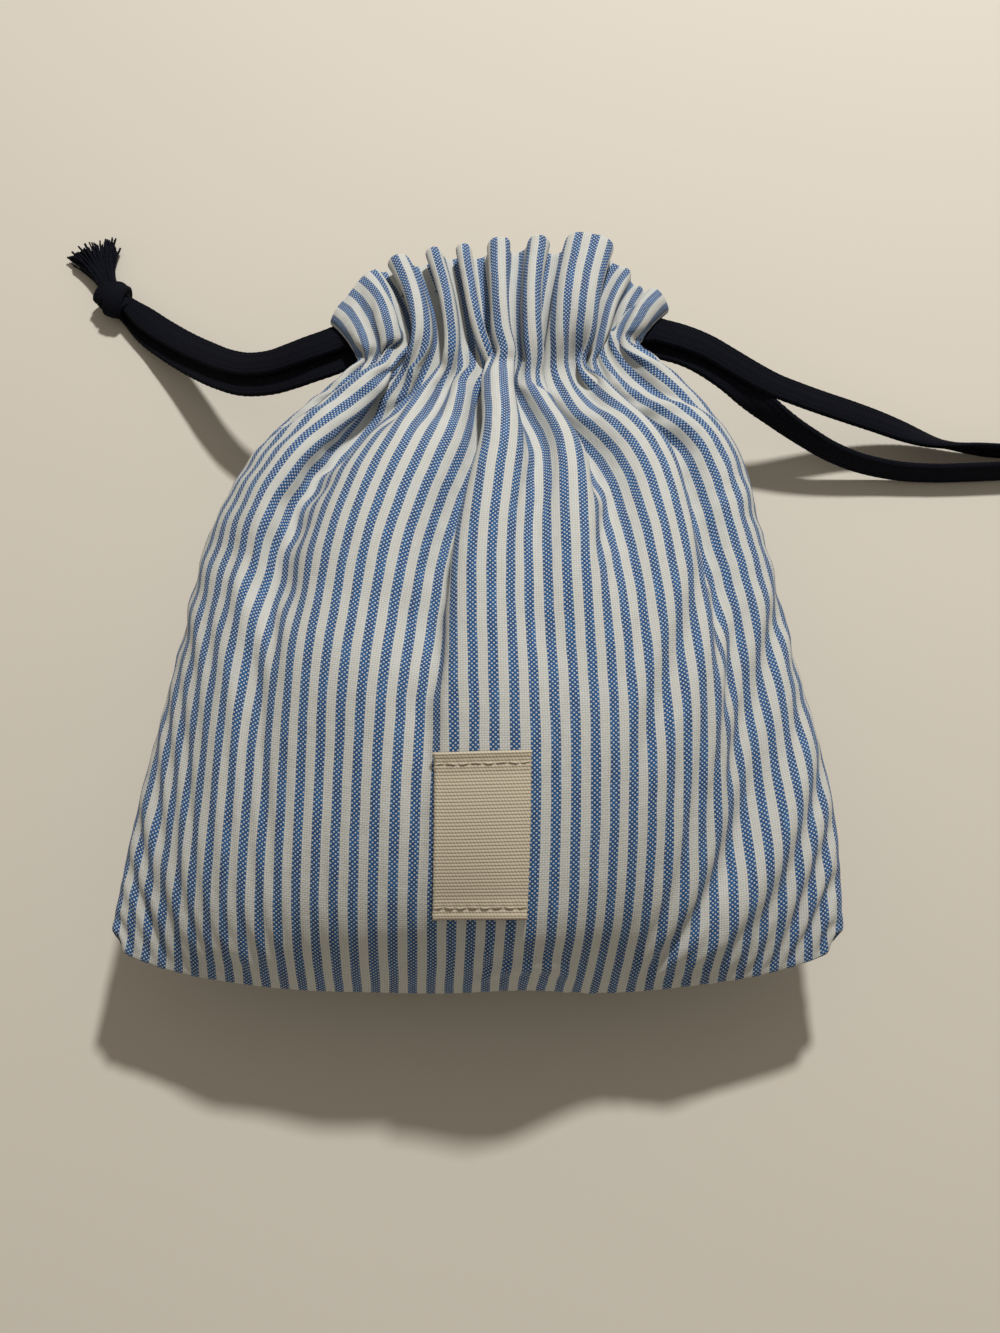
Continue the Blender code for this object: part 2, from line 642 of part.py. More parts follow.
def main():
    for obj in list(bpy.data.objects):
        bpy.data.objects.remove(obj, do_unlink=True)
    pouch = bpy.data.collections.new(COLLECTION)
    guides = bpy.data.collections.new("guides")
    for collection in (pouch, guides):
        bpy.context.scene.collection.children.link(collection)

    front, back, neck = bag_grids()
    make_bag(front, back, material("cloth", CLOTH_COLOUR, 0.9), pouch)
    make_label(front, material("label_tape", LABEL_COLOUR, 0.85), pouch)
    thread = material("thread", THREAD_COLOUR, 0.8)
    make_label_seam("label_stitches_lower", front, THREAD_MARGIN, thread, pouch)
    make_label_seam("label_stitches_upper", front, LABEL_LENGTH - THREAD_MARGIN, thread, pouch)

    cord = material("cord", CORD_COLOUR, 0.7)
    profile = cord_profile(guides)
    for name, route in (("left_strand_upper", LEFT_UPPER_ROUTE),
                        ("left_strand_lower", LEFT_LOWER_ROUTE),
                        ("right_strand_upper", RIGHT_UPPER_ROUTE),
                        ("right_strand_lower", RIGHT_LOWER_ROUTE)):
        make_strand(name, route, neck, profile, cord, pouch)
    for side, place, heading, tail_heading in (
            ("left", LEFT_KNOT, LEFT_KNOT_HEADING, LEFT_TAIL_HEADING),
            ("right", RIGHT_KNOT, RIGHT_KNOT_HEADING, RIGHT_TAIL_HEADING)):
        make_knot(side + "_knot", place, neck, heading, cord, pouch)
        make_tail(side + "_tail", place, neck, heading, tail_heading, cord, pouch)


main()
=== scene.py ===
"""Looks of a filled cotton drawstring pouch: striped cloth, woven label and flat braided cords.

Metres, +Z up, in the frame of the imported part: the pouch lies on z = 0 with its hem towards -Y
and its gathered neck towards +Y. A panel is laid out by two cloth coordinates: "across" runs from
the left seam to the right one, and "share" runs from the hem (0) to the drawn waist (1) and on
through the casing to its top edge (2).
"""
import json
from math import copysign, cos, exp, hypot, pi, radians, sin, sqrt

import bpy
import numpy as np
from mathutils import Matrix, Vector

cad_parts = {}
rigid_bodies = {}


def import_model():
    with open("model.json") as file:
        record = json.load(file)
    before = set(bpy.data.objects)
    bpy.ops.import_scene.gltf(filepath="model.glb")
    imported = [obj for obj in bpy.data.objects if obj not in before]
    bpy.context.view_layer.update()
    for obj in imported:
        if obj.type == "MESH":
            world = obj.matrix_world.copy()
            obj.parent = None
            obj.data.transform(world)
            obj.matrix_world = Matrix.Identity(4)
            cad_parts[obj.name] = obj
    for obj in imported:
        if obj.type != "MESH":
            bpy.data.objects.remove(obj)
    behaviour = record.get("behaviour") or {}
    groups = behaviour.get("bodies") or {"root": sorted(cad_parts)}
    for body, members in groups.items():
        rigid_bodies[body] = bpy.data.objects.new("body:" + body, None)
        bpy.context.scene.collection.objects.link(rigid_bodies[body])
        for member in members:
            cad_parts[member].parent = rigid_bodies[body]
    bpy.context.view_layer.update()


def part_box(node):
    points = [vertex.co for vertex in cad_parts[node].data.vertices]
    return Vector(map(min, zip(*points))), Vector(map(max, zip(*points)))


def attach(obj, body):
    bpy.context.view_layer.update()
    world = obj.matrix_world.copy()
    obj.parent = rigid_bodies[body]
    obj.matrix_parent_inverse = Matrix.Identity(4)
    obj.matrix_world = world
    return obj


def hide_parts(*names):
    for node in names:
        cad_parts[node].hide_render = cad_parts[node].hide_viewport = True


for leftover in list(bpy.data.objects):
    bpy.data.objects.remove(leftover, do_unlink=True)
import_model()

# The photograph's camera
LONG_SIDE_PX = 1333
FOCAL_PX = 1450
SENSOR = 36.0
VIEW_ELEVATION = radians(70)
VIEW_TARGET = Vector((0.006, -0.0334, 0.068))
VIEW_DISTANCE = 0.344

# Light and floor
KEY_DIRECTION = Vector((0.24, 0.80, 1.08))
KEY_DISTANCE = 1.20
KEY_SIZE = 0.10
KEY_POWER = 13.0
FILL_STRENGTH = 0.30
SKY_COLOUR = (1.0, 0.91, 0.79, 1.0)
KEY_COLOUR = (1.0, 1.0, 0.99)
FLOOR_SIZE = 3.0
FLOOR_DROP = 0.0002

# The bag's sizes, as in the part
BODY_LOW, BODY_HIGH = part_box("pouch_body")
HEM_WIDTH = BODY_HIGH.x - BODY_LOW.x
BELLY_HEIGHT = BODY_HIGH.z
PANEL_WIDTH = 0.200
BODY_LENGTH = 0.167
BELLY_WIDTH = 0.161
FLANK_WIDTH = 0.148
SHOULDER_WIDTH = 0.127
WAIST_WIDTH = 0.078
SEAM_HEIGHT = 0.034
HEM_HEIGHT = 0.028
WAIST_HEIGHT = 0.038
WAIST_DEPTH = 0.026
HEM_LEAN = -0.006
BELLY_LEAN = -0.0035
CORNER_LIFT = 0.011
WAIST_BOW = 0.009
REST_START = 0.022
REST_END = 0.122
HEM_WAVE = 0.0035
HEM_WAVE_REACH = 0.030
CASING_LENGTH = BODY_HIGH.y - BODY_LOW.y - BODY_LENGTH
MOUTH_WIDTH = 0.096
MOUTH_HEIGHT = 0.036
MOUTH_DEPTH = 0.023
MOUTH_BOW = 0.0215
NECK_TURN = 0.0025
CLOTH_EDGE = 0.0014
SIDE_LIFT = 0.0020  # the casing's side edges pass over the cords
CORNER_ROUND = 0.0022  # how far the hem's corners are turned in
CORNER_REACH = 0.004
NECK = np.array([-HEM_LEAN, BODY_LOW.y + BODY_LENGTH, 0.0])

# Gathers
MAX_TILT = radians(74)
TILT_GAIN = 5.0
STEEPEST = 2.33  # brings a gather's steepest tilt to its weight
LEAN_REACH = 1.6  # in half widths of the gather
CASING_BLEND = 0.14  # share of the casing in which its own weights take over
CLOTH_GAP = 0.0006  # front and back keep this far apart
FLAT_LIMIT = 0.0001  # waves lower than this lie flat
NOTCH_DEPTH = 0.0026  # how far the drawn cord pulls the gathers in at the waist
NOTCH_REACH = 0.0055
WAIST_WOBBLE = 0.0009  # how unevenly the waist's line runs
WOBBLE_REACH = 0.014
WOBBLE_PERIODS = (0.043, 0.027)

# Each gather: place across the panel from its middle, half width, reach below the waist,
# depth weight below the waist and above it, and how far it leans to the right under its neighbour.
FRONT_GATHERS = (
    (-0.089, 0.0060, 0.030, 0.8, 0.1, 0.0), (-0.072, 0.0066, 0.020, 0.8, 1.3, 0.3),
    (-0.060, 0.0068, 0.080, 1.9, 0.0, -0.5), (-0.047, 0.0062, 0.028, 0.9, 1.2, 0.3),
    (-0.034, 0.0058, 0.024, 0.9, 0.0, 0.0), (-0.027, 0.0056, 0.010, 0.0, 1.1, 0.2),
    (-0.0165, 0.0056, 0.085, 3.0, 0.0, 0.8), (-0.008, 0.0056, 0.008, 0.0, 1.2, 0.0),
    (0.0145, 0.0048, 0.060, 1.4, 1.1, -0.2), (0.026, 0.0050, 0.030, 0.8, 0.0, 0.0),
    (0.038, 0.0066, 0.055, 1.9, 0.3, -0.5), (0.037, 0.0056, 0.008, 0.0, 2.0, 0.0),
    (0.053, 0.0062, 0.018, 0.9, 0.1, 0.0), (0.070, 0.0062, 0.095, 2.1, 0.9, -0.3),
    (0.082, 0.0056, 0.020, 0.9, 1.5, 0.0),
)
BACK_GATHERS = (
    (-0.086, 0.0060, 0.035, 0.9, 0.6, 0.0), (-0.071, 0.0062, 0.055, 1.0, 1.0, 0.0),
    (-0.056, 0.0058, 0.025, 1.0, 1.0, 0.0), (-0.041, 0.0060, 0.045, 1.0, 1.0, 0.0),
    (-0.026, 0.0058, 0.030, 1.0, 1.0, 0.0), (-0.011, 0.0060, 0.060, 1.0, 1.0, 0.0),
    (0.004, 0.0058, 0.030, 1.0, 1.0, 0.0), (0.019, 0.0060, 0.065, 1.1, 1.0, 0.0),
    (0.034, 0.0058, 0.030, 1.0, 1.0, 0.0), (0.049, 0.0060, 0.055, 1.0, 1.0, 0.0),
    (0.065, 0.0060, 0.030, 1.0, 1.0, 0.0), (0.083, 0.0062, 0.040, 0.9, 0.6, 0.0),
)
# How far parts of the top edge stand beyond its mean line: place across, half width, height.
MOUTH_SCALLOPS = ((-0.076, 0.018, 0.0042), (0.000, 0.022, -0.0012), (0.056, 0.018, 0.0030))
# The cloth turned in at the mouth: inset in cloth edges, row from the top edge, and rise.
MOUTH_RINGS = ((0.35, -1, 0.0004), (1.0, -1, -0.0004), (1.1, -2, 0.0), (1.1, -3, 0.0), (1.0, -5, 0.0))

# Cloth simulation
SIM_ROUNDS = 260
SIM_SHEAR = 0.30
SIM_BEND = 0.10
SIM_BENDS = ((2, SIM_BEND), (6, 0.012))  # columns spanned, and firmness
SIM_PRESSURE = 0.000004
# How firmly the drawn shape holds each region, and how far lines reach into the cloth
HOLD_FRONT = 0.004
HOLD_BACK = 0.03
HOLD_CASING = 0.02
HOLD_WAIST, WAIST_REACH = 0.08, 0.004
HOLD_SEAM, SEAM_REACH = 0.05, 0.004
HOLD_HEM, HEM_REACH = 0.10, 0.006

# Creases and soft dents of the front: place across and above the hem, half length, half width,
# direction in degrees from across, and depth (negative stands out).
FRONT_DENTS = (
    (-0.016, 0.138, 0.040, 0.0050, 87.0, 0.0060), (0.000, 0.136, 0.045, 0.0085, 90.0, -0.0030),
    (0.038, 0.150, 0.026, 0.0050, 94.0, 0.0040), (0.026, 0.140, 0.030, 0.0060, 92.0, -0.0016),
    (0.070, 0.120, 0.050, 0.0050, 92.0, 0.0045), (-0.061, 0.135, 0.042, 0.0050, 88.0, 0.0040),
    (0.064, 0.046, 0.030, 0.0150, 62.0, 0.0035), (-0.041, 0.060, 0.016, 0.0050, 42.0, 0.0016),
    (-0.052, 0.070, 0.014, 0.0045, 35.0, -0.0010), (0.066, 0.036, 0.018, 0.0050, 52.0, 0.0024),
    (0.074, 0.030, 0.016, 0.0050, 52.0, -0.0016), (-0.076, 0.098, 0.016, 0.0045, 75.0, 0.0022),
    (-0.042, 0.104, 0.030, 0.0070, -10.0, 0.0020), (-0.040, 0.086, 0.034, 0.0090, -8.0, -0.0016),
    (0.019, 0.094, 0.016, 0.0050, -38.0, 0.0018), (0.050, 0.086, 0.018, 0.0060, 60.0, 0.0012),
    (0.080, 0.075, 0.020, 0.0060, 80.0, 0.0020), (-0.082, 0.050, 0.020, 0.0060, 70.0, 0.0016),
    (-0.020, 0.016, 0.018, 0.0050, 10.0, 0.0012), (0.034, 0.014, 0.016, 0.0050, -14.0, 0.0014),
)

COLUMNS = 144
ACROSS = np.linspace(-PANEL_WIDTH / 2, PANEL_WIDTH / 2, COLUMNS + 1)
BODY_ROWS = 60
CASING_ROWS = 18
SECTION_SAMPLES = 361

# Label and its thread
LABEL_WIDTH = 0.0226
LABEL_LENGTH = 0.039
LABEL_THICKNESS = 0.0006
LABEL_FROM_HEM = 0.028
LABEL_OFFSET = -0.0005
LABEL_TURN_IN = 0.004
LABEL_GAP = 0.0003
CALM_ROUNDS = 6
# How far the label's ends and sides stand off and its seams sink in, each with its reach
LABEL_LIP, LIP_REACH = 0.0006, 0.0012
LABEL_EDGE, EDGE_REACH = 0.00025, 0.0010
SEAM_PULL, PULL_REACH = 0.00035, 0.0007
LABEL_FRAY = 0.00012
TURN_SOFTNESS = 0.0002
THREAD_DIAMETER = 0.00034
THREAD_MARGIN = 0.0028
STITCH_LENGTH = 0.0024
STITCH_PITCH = 0.0029
STITCH_MARGIN = 0.0006
STITCH_WOBBLE = 0.00012

# Flat braided cords
CORD_WIDTH = 0.0080
CORD_THICKNESS = 0.0026
CORD_RIBS = 7
CORD_RIB_DEPTH = 0.00026
CORD_STEP = 0.0009
PROFILE_POINTS = 44
PICOT_PITCH = 0.0022  # how often the braid's side edges wave
KNOT_GRIP = 0.0006  # how far a strand reaches into its knot
INSIDE_LENGTH = 0.010  # each strand is modelled this far into the casing
INSIDE_TURN = 0.0035  # and turns this far towards the waist there
EXIT_DROP = 0.0030
EXIT_REACH = 0.012
KNOT_LENGTH = 0.0105
KNOT_WIDTH = 0.0115
KNOT_HEIGHT = 0.0094
# Turns of braid round the knot: slant in degrees, offset, share of the knot's radius, and width
KNOT_WRAPS = ((24.0, -0.0012, 1.0, 0.0062), (-34.0, 0.0016, 0.93, 0.0056),
              (4.0, 0.0030, 0.72, 0.0050), (-8.0, -0.0034, 0.66, 0.0048))
KNOT_PINCH = 0.34  # how much narrower a strand gets where the knot grips it
KNOT_PINCH_REACH = 0.0065
TAIL_REACH = 0.0196
TAIL_ROOT = 0.0060
TAIL_END = 0.0160
TAIL_HEIGHT = 0.0055
TAIL_FIBRES = 190
FIBRE_RADII = (0.00036, 0.00066)
FIBRE_BEND = 0.0006

# Each route point: x and y from the middle of the waist, z above the surface, and the braid's
# roll in degrees, 0 where it lies flat. A strand is cut where it meets its knot.
LEFT_UPPER_ROUTE = (
    (-0.0452, 0.0136, 0.0395, 0), (-0.0490, 0.0122, 0.0385, 0), (-0.0540, 0.0110, 0.0362, 0),
    (-0.0600, 0.0102, 0.0325, 0), (-0.0665, 0.0102, 0.0285, 0), (-0.0740, 0.0122, 0.0240, 0),
    (-0.0812, 0.0162, 0.0196, 0), (-0.0880, 0.0214, 0.0154, 0), (-0.0948, 0.0268, 0.0116, 0),
    (-0.1015, 0.0324, 0.0085, 0), (-0.1085, 0.0384, 0.0062, 0), (-0.1206, 0.0488, 0.0054, 0),
)
LEFT_LOWER_ROUTE = (
    (-0.0432, 0.0106, 0.0361, 0), (-0.0472, 0.0091, 0.0351, 0), (-0.0525, 0.0077, 0.0327, 0),
    (-0.0590, 0.0068, 0.0289, 0), (-0.0665, 0.0068, 0.0250, 0), (-0.0750, 0.0091, 0.0205, 0),
    (-0.0828, 0.0139, 0.0160, 0), (-0.0894, 0.0192, 0.0118, 0), (-0.0960, 0.0250, 0.0080, 0),
    (-0.1025, 0.0309, 0.0050, 0), (-0.1090, 0.0371, 0.0028, 0), (-0.1206, 0.0484, 0.0022, 0),
)
RIGHT_UPPER_ROUTE = (
    (0.0440, 0.0166, 0.0397, 0), (0.0500, 0.0151, 0.0383, 0), (0.0546, 0.0139, 0.0364, 0),
    (0.0595, 0.0125, 0.0340, 0), (0.0653, 0.0104, 0.0311, 0), (0.0725, 0.0079, 0.0276, 0),
    (0.0797, 0.0060, 0.0240, 0), (0.0876, 0.0050, 0.0202, 0), (0.0956, 0.0042, 0.0165, 0),
    (0.1037, 0.0034, 0.0130, 0), (0.1117, 0.0022, 0.0100, 5), (0.1196, 0.0004, 0.0075, 15),
    (0.1274, -0.0017, 0.0058, 35), (0.1350, -0.0033, 0.0049, 60), (0.1426, -0.0041, 0.0044, 78),
    (0.1501, -0.0047, 0.0042, 84), (0.1590, -0.0049, 0.0042, 84), (0.1680, -0.0048, 0.0044, 84),
    (0.1816, -0.0050, 0.0048, 84),
)
RIGHT_LOWER_ROUTE = (
    (0.0428, 0.0148, 0.0364, 0), (0.0490, 0.0133, 0.0350, 0), (0.0540, 0.0119, 0.0330, 0),
    (0.0600, 0.0096, 0.0300, 0), (0.0665, 0.0067, 0.0268, -8), (0.0727, 0.0036, 0.0233, -30),
    (0.0785, 0.0009, 0.0198, -55), (0.0843, -0.0018, 0.0165, -68), (0.0906, -0.0044, 0.0133, -74),
    (0.0976, -0.0069, 0.0100, -78), (0.1055, -0.0089, 0.0072, -80), (0.1133, -0.0101, 0.0054, -80),
    (0.1209, -0.0109, 0.0045, -80), (0.1299, -0.0112, 0.0042, -80), (0.1389, -0.0110, 0.0042, -80),
    (0.1494, -0.0105, 0.0042, -80), (0.1584, -0.0098, 0.0042, -80), (0.1675, -0.0091, 0.0044, -80),
    (0.1816, -0.0090, 0.0048, -80),
)
# Each cord: its knot's place, the headings of knot and tail in degrees, the route of the upper and
# of the lower strand with how far it lies from the part's own, and the seed of the tail's yarns.
CORDS = {
    "left": ((-0.1206, 0.0488, 0.0050), 141.0, 114.0,
             LEFT_UPPER_ROUTE, (0.0002, 0.0018, 0.0), LEFT_LOWER_ROUTE, (0.0, 0.0003, 0.0), 3),
    "right": ((0.1816, -0.0068, 0.0050), 0.0, -14.0,
              RIGHT_UPPER_ROUTE, (0.0, 0.0010, 0.0), RIGHT_LOWER_ROUTE, (0.0, 0.0, 0.0), 5),
}


# Small helpers

def unit(vectors):
    """Each vector divided by its length."""
    return vectors / np.maximum(np.linalg.norm(vectors, axis=-1, keepdims=True), 1e-12)


def smooth_curve(points, per_span=24):
    """Many points of the Catmull-Rom curve through the given ones."""
    pts = np.array(points, dtype=float)
    ends = np.vstack([2 * pts[0] - pts[1], pts, 2 * pts[-1] - pts[-2]])
    spans = []
    for a, b, c, d in zip(ends[:-3], ends[1:-2], ends[2:-1], ends[3:]):
        t = np.linspace(0.0, 1.0, per_span, endpoint=False)[:, None]
        spans.append(0.5 * (2 * b + (c - a) * t + (2 * a - 5 * b + 4 * c - d) * t**2
                            + (3 * b - a - 3 * c + d) * t**3))
    return np.vstack([*spans, pts[-1:]])


def along(curve):
    """Distance from the curve's start to each of its points."""
    steps = np.linalg.norm(np.diff(curve[:, :3], axis=0), axis=1)
    return np.concatenate([[0.0], np.cumsum(steps)])


def resample(curve, shares):
    """Points at the given shares of the curve's length, with any further value they carry."""
    distance = along(curve)
    return np.stack([np.interp(np.array(shares) * distance[-1], distance, curve[:, axis])
                     for axis in range(curve.shape[1])], axis=1)


def near(distance, reach):
    """1 at the place itself, falling away over the given reach."""
    return np.exp(-(distance / reach) ** 2)


def cos_sin(degrees):
    return cos(radians(degrees)), sin(radians(degrees))


def circle(radius, count):
    """Section of a round yarn."""
    angles = np.linspace(0.0, 2 * pi, count, endpoint=False)
    return [(radius * cos(a), radius * sin(a)) for a in angles]


def join(verts, faces, new_verts, new_faces):
    """Add a body's points and faces to a piece."""
    faces.extend(tuple(i + len(verts) for i in face) for face in new_faces)
    verts.extend(new_verts)


def add_object(name, data):
    obj = bpy.data.objects.new(name, data)
    bpy.context.scene.collection.objects.link(obj)
    return obj


def add_piece(name, verts, faces, look, uvs=None):
    """A smooth mesh object. uvs holds one cloth place for each vertex."""
    mesh = bpy.data.meshes.new(name)
    mesh.from_pydata([tuple(v) for v in verts], [], faces)
    if uvs is not None:
        layer = mesh.uv_layers.new(name="cloth")
        corners = np.zeros(len(mesh.loops), dtype=np.int32)
        mesh.loops.foreach_get("vertex_index", corners)
        layer.data.foreach_set("uv", np.asarray(uvs, dtype=np.float32)[corners].ravel())
    mesh.materials.append(look)
    mesh.shade_smooth()
    return add_object(name, mesh)


# Materials

class Nodes:
    """A short way to write a material's node tree."""

    def __init__(self, name):
        self.material = bpy.data.materials.new(name)
        self.material.use_nodes = True
        self.tree = self.material.node_tree
        self.shader = self.tree.nodes["Principled BSDF"]

    def add(self, kind, **values):
        node = self.tree.nodes.new(kind)
        for key, value in values.items():
            setattr(node, key, value)
        return node

    def put(self, socket, value):
        if isinstance(value, bpy.types.NodeSocket):
            self.tree.links.new(value, socket)
        else:
            socket.default_value = value

    def feed(self, node, values):
        for name, value in values.items():
            self.put(node.inputs[name], value)

    def math(self, operation, *values, clamp=False):
        node = self.add("ShaderNodeMath", operation=operation, use_clamp=clamp)
        for socket, value in zip(node.inputs, values):
            self.put(socket, value)
        return node.outputs[0]

    def plus(self, a, b):
        return self.math("ADD", a, b)

    def minus(self, a, b):
        return self.math("SUBTRACT", a, b)

    def times(self, a, b, clamp=False):
        return self.math("MULTIPLY", a, b, clamp=clamp)

    def mix(self, factor, a, b):
        node = self.add("ShaderNodeMix", data_type="RGBA")
        a, b = ((*side, 1.0) if isinstance(side, tuple) else side for side in (a, b))
        self.feed(node, {"Factor": factor, "A": a, "B": b})
        return node.outputs["Result"]

    def smooth_step(self, value, low, high):
        node = self.add("ShaderNodeMapRange", interpolation_type="SMOOTHSTEP")
        self.feed(node, {"Value": value, "From Min": low, "From Max": high})
        return node.outputs["Result"]

    def noise(self, vector, scale, detail=2.0):
        node = self.add("ShaderNodeTexNoise")
        self.feed(node, {"Vector": vector, "Scale": scale, "Detail": detail})
        return node.outputs["Fac"]

    def bump(self, height, strength, distance, normal=None):
        node = self.add("ShaderNodeBump")
        self.feed(node, {"Height": height, "Strength": strength, "Distance": distance})
        if normal is not None:
            self.put(node.inputs["Normal"], normal)
        return node.outputs["Normal"]

    def ripple(self, value, period):
        return self.math("SINE", self.times(value, 2 * pi / period))

    def within_cell(self, value):
        """Place within the yarn that a value falls in, from -1 to 1."""
        return self.times(self.minus(self.math("FRACT", value), 0.5), 2.0)

    def streaks(self, place, scale):
        mapping = self.add("ShaderNodeMapping")
        self.feed(mapping, {"Vector": place, "Scale": scale})
        return self.noise(mapping.outputs[0], 1.0, 3.0)

    def matt(self, colour, roughness, specular, sheen=0.0, sheen_roughness=0.5, normal=None):
        """Set the surface's look and hand the material back."""
        self.feed(self.shader, {"Base Color": colour, "Roughness": roughness,
                                "Specular IOR Level": specular, "Sheen Weight": sheen,
                                "Sheen Roughness": sheen_roughness})
        if normal is not None:
            self.put(self.shader.inputs["Normal"], normal)
        return self.material

    def cloth_place(self):
        """The cloth coordinates in millimetres: across, along, and both as a vector."""
        uv = self.add("ShaderNodeUVMap", uv_map="cloth").outputs[0]
        scaled = self.add("ShaderNodeVectorMath", operation="SCALE")
        self.put(scaled.inputs[0], uv)
        self.put(scaled.inputs["Scale"], 1000.0)
        parts = self.add("ShaderNodeSeparateXYZ")
        self.put(parts.inputs[0], scaled.outputs[0])
        return parts.outputs[0], parts.outputs[1], scaled.outputs[0]


CREAM_YARN = (0.545, 0.540, 0.495)
# painted shade for the pits between the cream yarns
CREAM_PAINTED_SHADE = (0.27, 0.25, 0.20)
WEFT_YARN = (0.56, 0.575, 0.56)
BLUE_YARN = (0.010, 0.053, 0.165)
BLUE_PALE = (0.023, 0.122, 0.305)
STRIPE_PERIOD_MM = 4.8
WARP_PITCH_MM = 0.60
WEFT_PITCH_MM = 0.56
TAPE_RIB_MM = 0.78
TAPE_YARN_MM = 0.80
TAPE_COLOUR = (0.64, 0.57, 0.44)
# painted shade for the hollows between the tape's yarn beads and in the grooves of the thread's twist
TAPE_PAINTED_SHADE = (0.36, 0.30, 0.205)
THREAD_COLOUR = (0.66, 0.61, 0.50)
CORD_COLOUR = (0.0030, 0.0034, 0.0065)
# painted highlight colour for the crests of the braid's yarns
CORD_PAINTED_HIGHLIGHT = (0.0080, 0.0090, 0.0150)
BRAID_SLANT = 0.9
BRAID_YARN_MM = 0.75
FLOOR_COLOUR = (0.61, 0.565, 0.485)


def striped_cloth():
    """Oxford cloth: blue and cream warp stripes crossed by a pale weft that shows as dots; the pits
    between the cream yarns get painted shade.
    """
    n = Nodes("striped_cloth")
    across, up, place = n.cloth_place()
    wander = n.times(n.minus(n.noise(place, 0.11), 0.5), 0.5)
    shifted = n.plus(across, wander)
    turn = n.math("FRACT", n.math("DIVIDE", shifted, STRIPE_PERIOD_MM))
    from_middle = n.math("ABSOLUTE", n.minus(turn, 0.5))
    blue = n.minus(1.0, n.smooth_step(from_middle, 0.235, 0.262))

    warp = n.math("DIVIDE", shifted, WARP_PITCH_MM)
    weft = n.math("DIVIDE", up, WEFT_PITCH_MM)
    warp_cell, weft_cell = n.math("FLOOR", warp), n.math("FLOOR", weft)
    parity = n.math("FRACT", n.times(n.plus(warp_cell, weft_cell), 0.5))
    weft_over = n.math("GREATER_THAN", parity, 0.25)
    x, y = n.within_cell(warp), n.within_cell(weft)
    xx, yy = n.times(x, x), n.times(y, y)
    radius = n.plus(xx, yy)
    dot = n.times(weft_over, n.minus(1.0, n.smooth_step(radius, 0.25, 0.90)))

    slub = n.streaks(place, (2.1, 0.12, 1.0))
    weft_slub = n.streaks(place, (0.10, 2.0, 1.0))
    blue_side = n.mix(n.smooth_step(slub, 0.35, 0.75), BLUE_YARN, BLUE_PALE)
    blue_side = n.mix(n.times(dot, 0.90), blue_side, WEFT_YARN)
    # painted shade: the cream stripes darken in the pits between their yarns
    painted_pit_shade = n.times(n.smooth_step(radius, 0.75, 1.8), 0.75)
    cream_side = n.mix(n.smooth_step(slub, 0.3, 0.8), CREAM_YARN, WEFT_YARN)
    cream_side = n.mix(painted_pit_shade, cream_side, CREAM_PAINTED_SHADE)

    warp_round = n.minus(1.0, n.math("MAXIMUM", xx, n.times(yy, 0.35)))
    weft_round = n.minus(1.0, n.math("MAXIMUM", yy, n.times(xx, 0.35)))
    over = n.add("ShaderNodeMix", data_type="FLOAT")
    n.feed(over, {"Factor": weft_over, "A": warp_round, "B": weft_round})
    height = n.plus(over.outputs["Result"], n.times(weft_slub, 1.2))
    weave = n.bump(height, 0.55, 0.00010)
    rumple = n.bump(n.noise(place, 0.16, 4.0), 0.35, 0.0010, weave)
    return n.matt(n.mix(blue, cream_side, blue_side), 0.88, 0.25, 0.06, 0.45, rumple)


def label_tape():
    """Bare woven cream tape with fine cross ribs, and painted shade between its yarn beads."""
    n = Nodes("label_tape")
    across, up, place = n.cloth_place()
    rib = n.math("DIVIDE", up, TAPE_RIB_MM)
    step = n.times(n.math("FLOOR", rib), 0.5)
    yarn = n.plus(n.math("DIVIDE", across, TAPE_YARN_MM), step)
    x, y = n.within_cell(yarn), n.within_cell(rib)
    slanted = n.plus(x, n.times(y, 0.5))
    radius = n.plus(n.times(slanted, n.times(slanted, 0.45)), n.times(y, y))
    bead = n.minus(1.0, n.smooth_step(radius, 0.15, 1.05))
    grain = n.noise(place, 1.6, 3.0)
    height = n.plus(bead, n.times(grain, 0.8))
    # the beads keep the tape's colour; the hollows between them get painted shade
    return n.matt(n.mix(bead, TAPE_PAINTED_SHADE, TAPE_COLOUR), 0.85, 0.25, 0.15,
                  normal=n.bump(height, 0.6, 0.00012))


def sewing_thread():
    """Twisted cream cotton thread, with painted shade in the grooves of its twist."""
    n = Nodes("sewing_thread")
    place = n.add("ShaderNodeTexCoord").outputs["Object"]
    wave = n.add("ShaderNodeTexWave", bands_direction="DIAGONAL")
    n.feed(wave, {"Vector": place, "Scale": 2600.0})
    # the diagonal bands are painted shade in the grooves of the twist
    return n.matt(n.mix(wave.outputs["Fac"], TAPE_PAINTED_SHADE, THREAD_COLOUR), 0.7, 0.5)


def braided_cord():
    """Near-black flat braid: ribs run along it, crossed by fine slanting yarns with a painted highlight
    on their crests.
    """
    n = Nodes("braided_cord")
    across, up, place = n.cloth_place()
    climb = n.times(up, BRAID_SLANT)
    weave = n.math("MAXIMUM", n.ripple(n.plus(across, climb), BRAID_YARN_MM),
                   n.ripple(n.minus(across, climb), BRAID_YARN_MM))
    fuzz = n.noise(place, 2.4, 3.0)
    # paler on the yarn crests: a painted highlight, broken up by a random fuzz tone
    crest_highlight_and_fuzz = n.times(n.plus(weave, 1.0), n.times(fuzz, 0.6), clamp=True)
    height = n.plus(weave, n.times(fuzz, 1.5))
    return n.matt(n.mix(crest_highlight_and_fuzz, CORD_COLOUR, CORD_PAINTED_HIGHLIGHT), 0.9, 0.08,
                  normal=n.bump(height, 0.8, 0.00016))


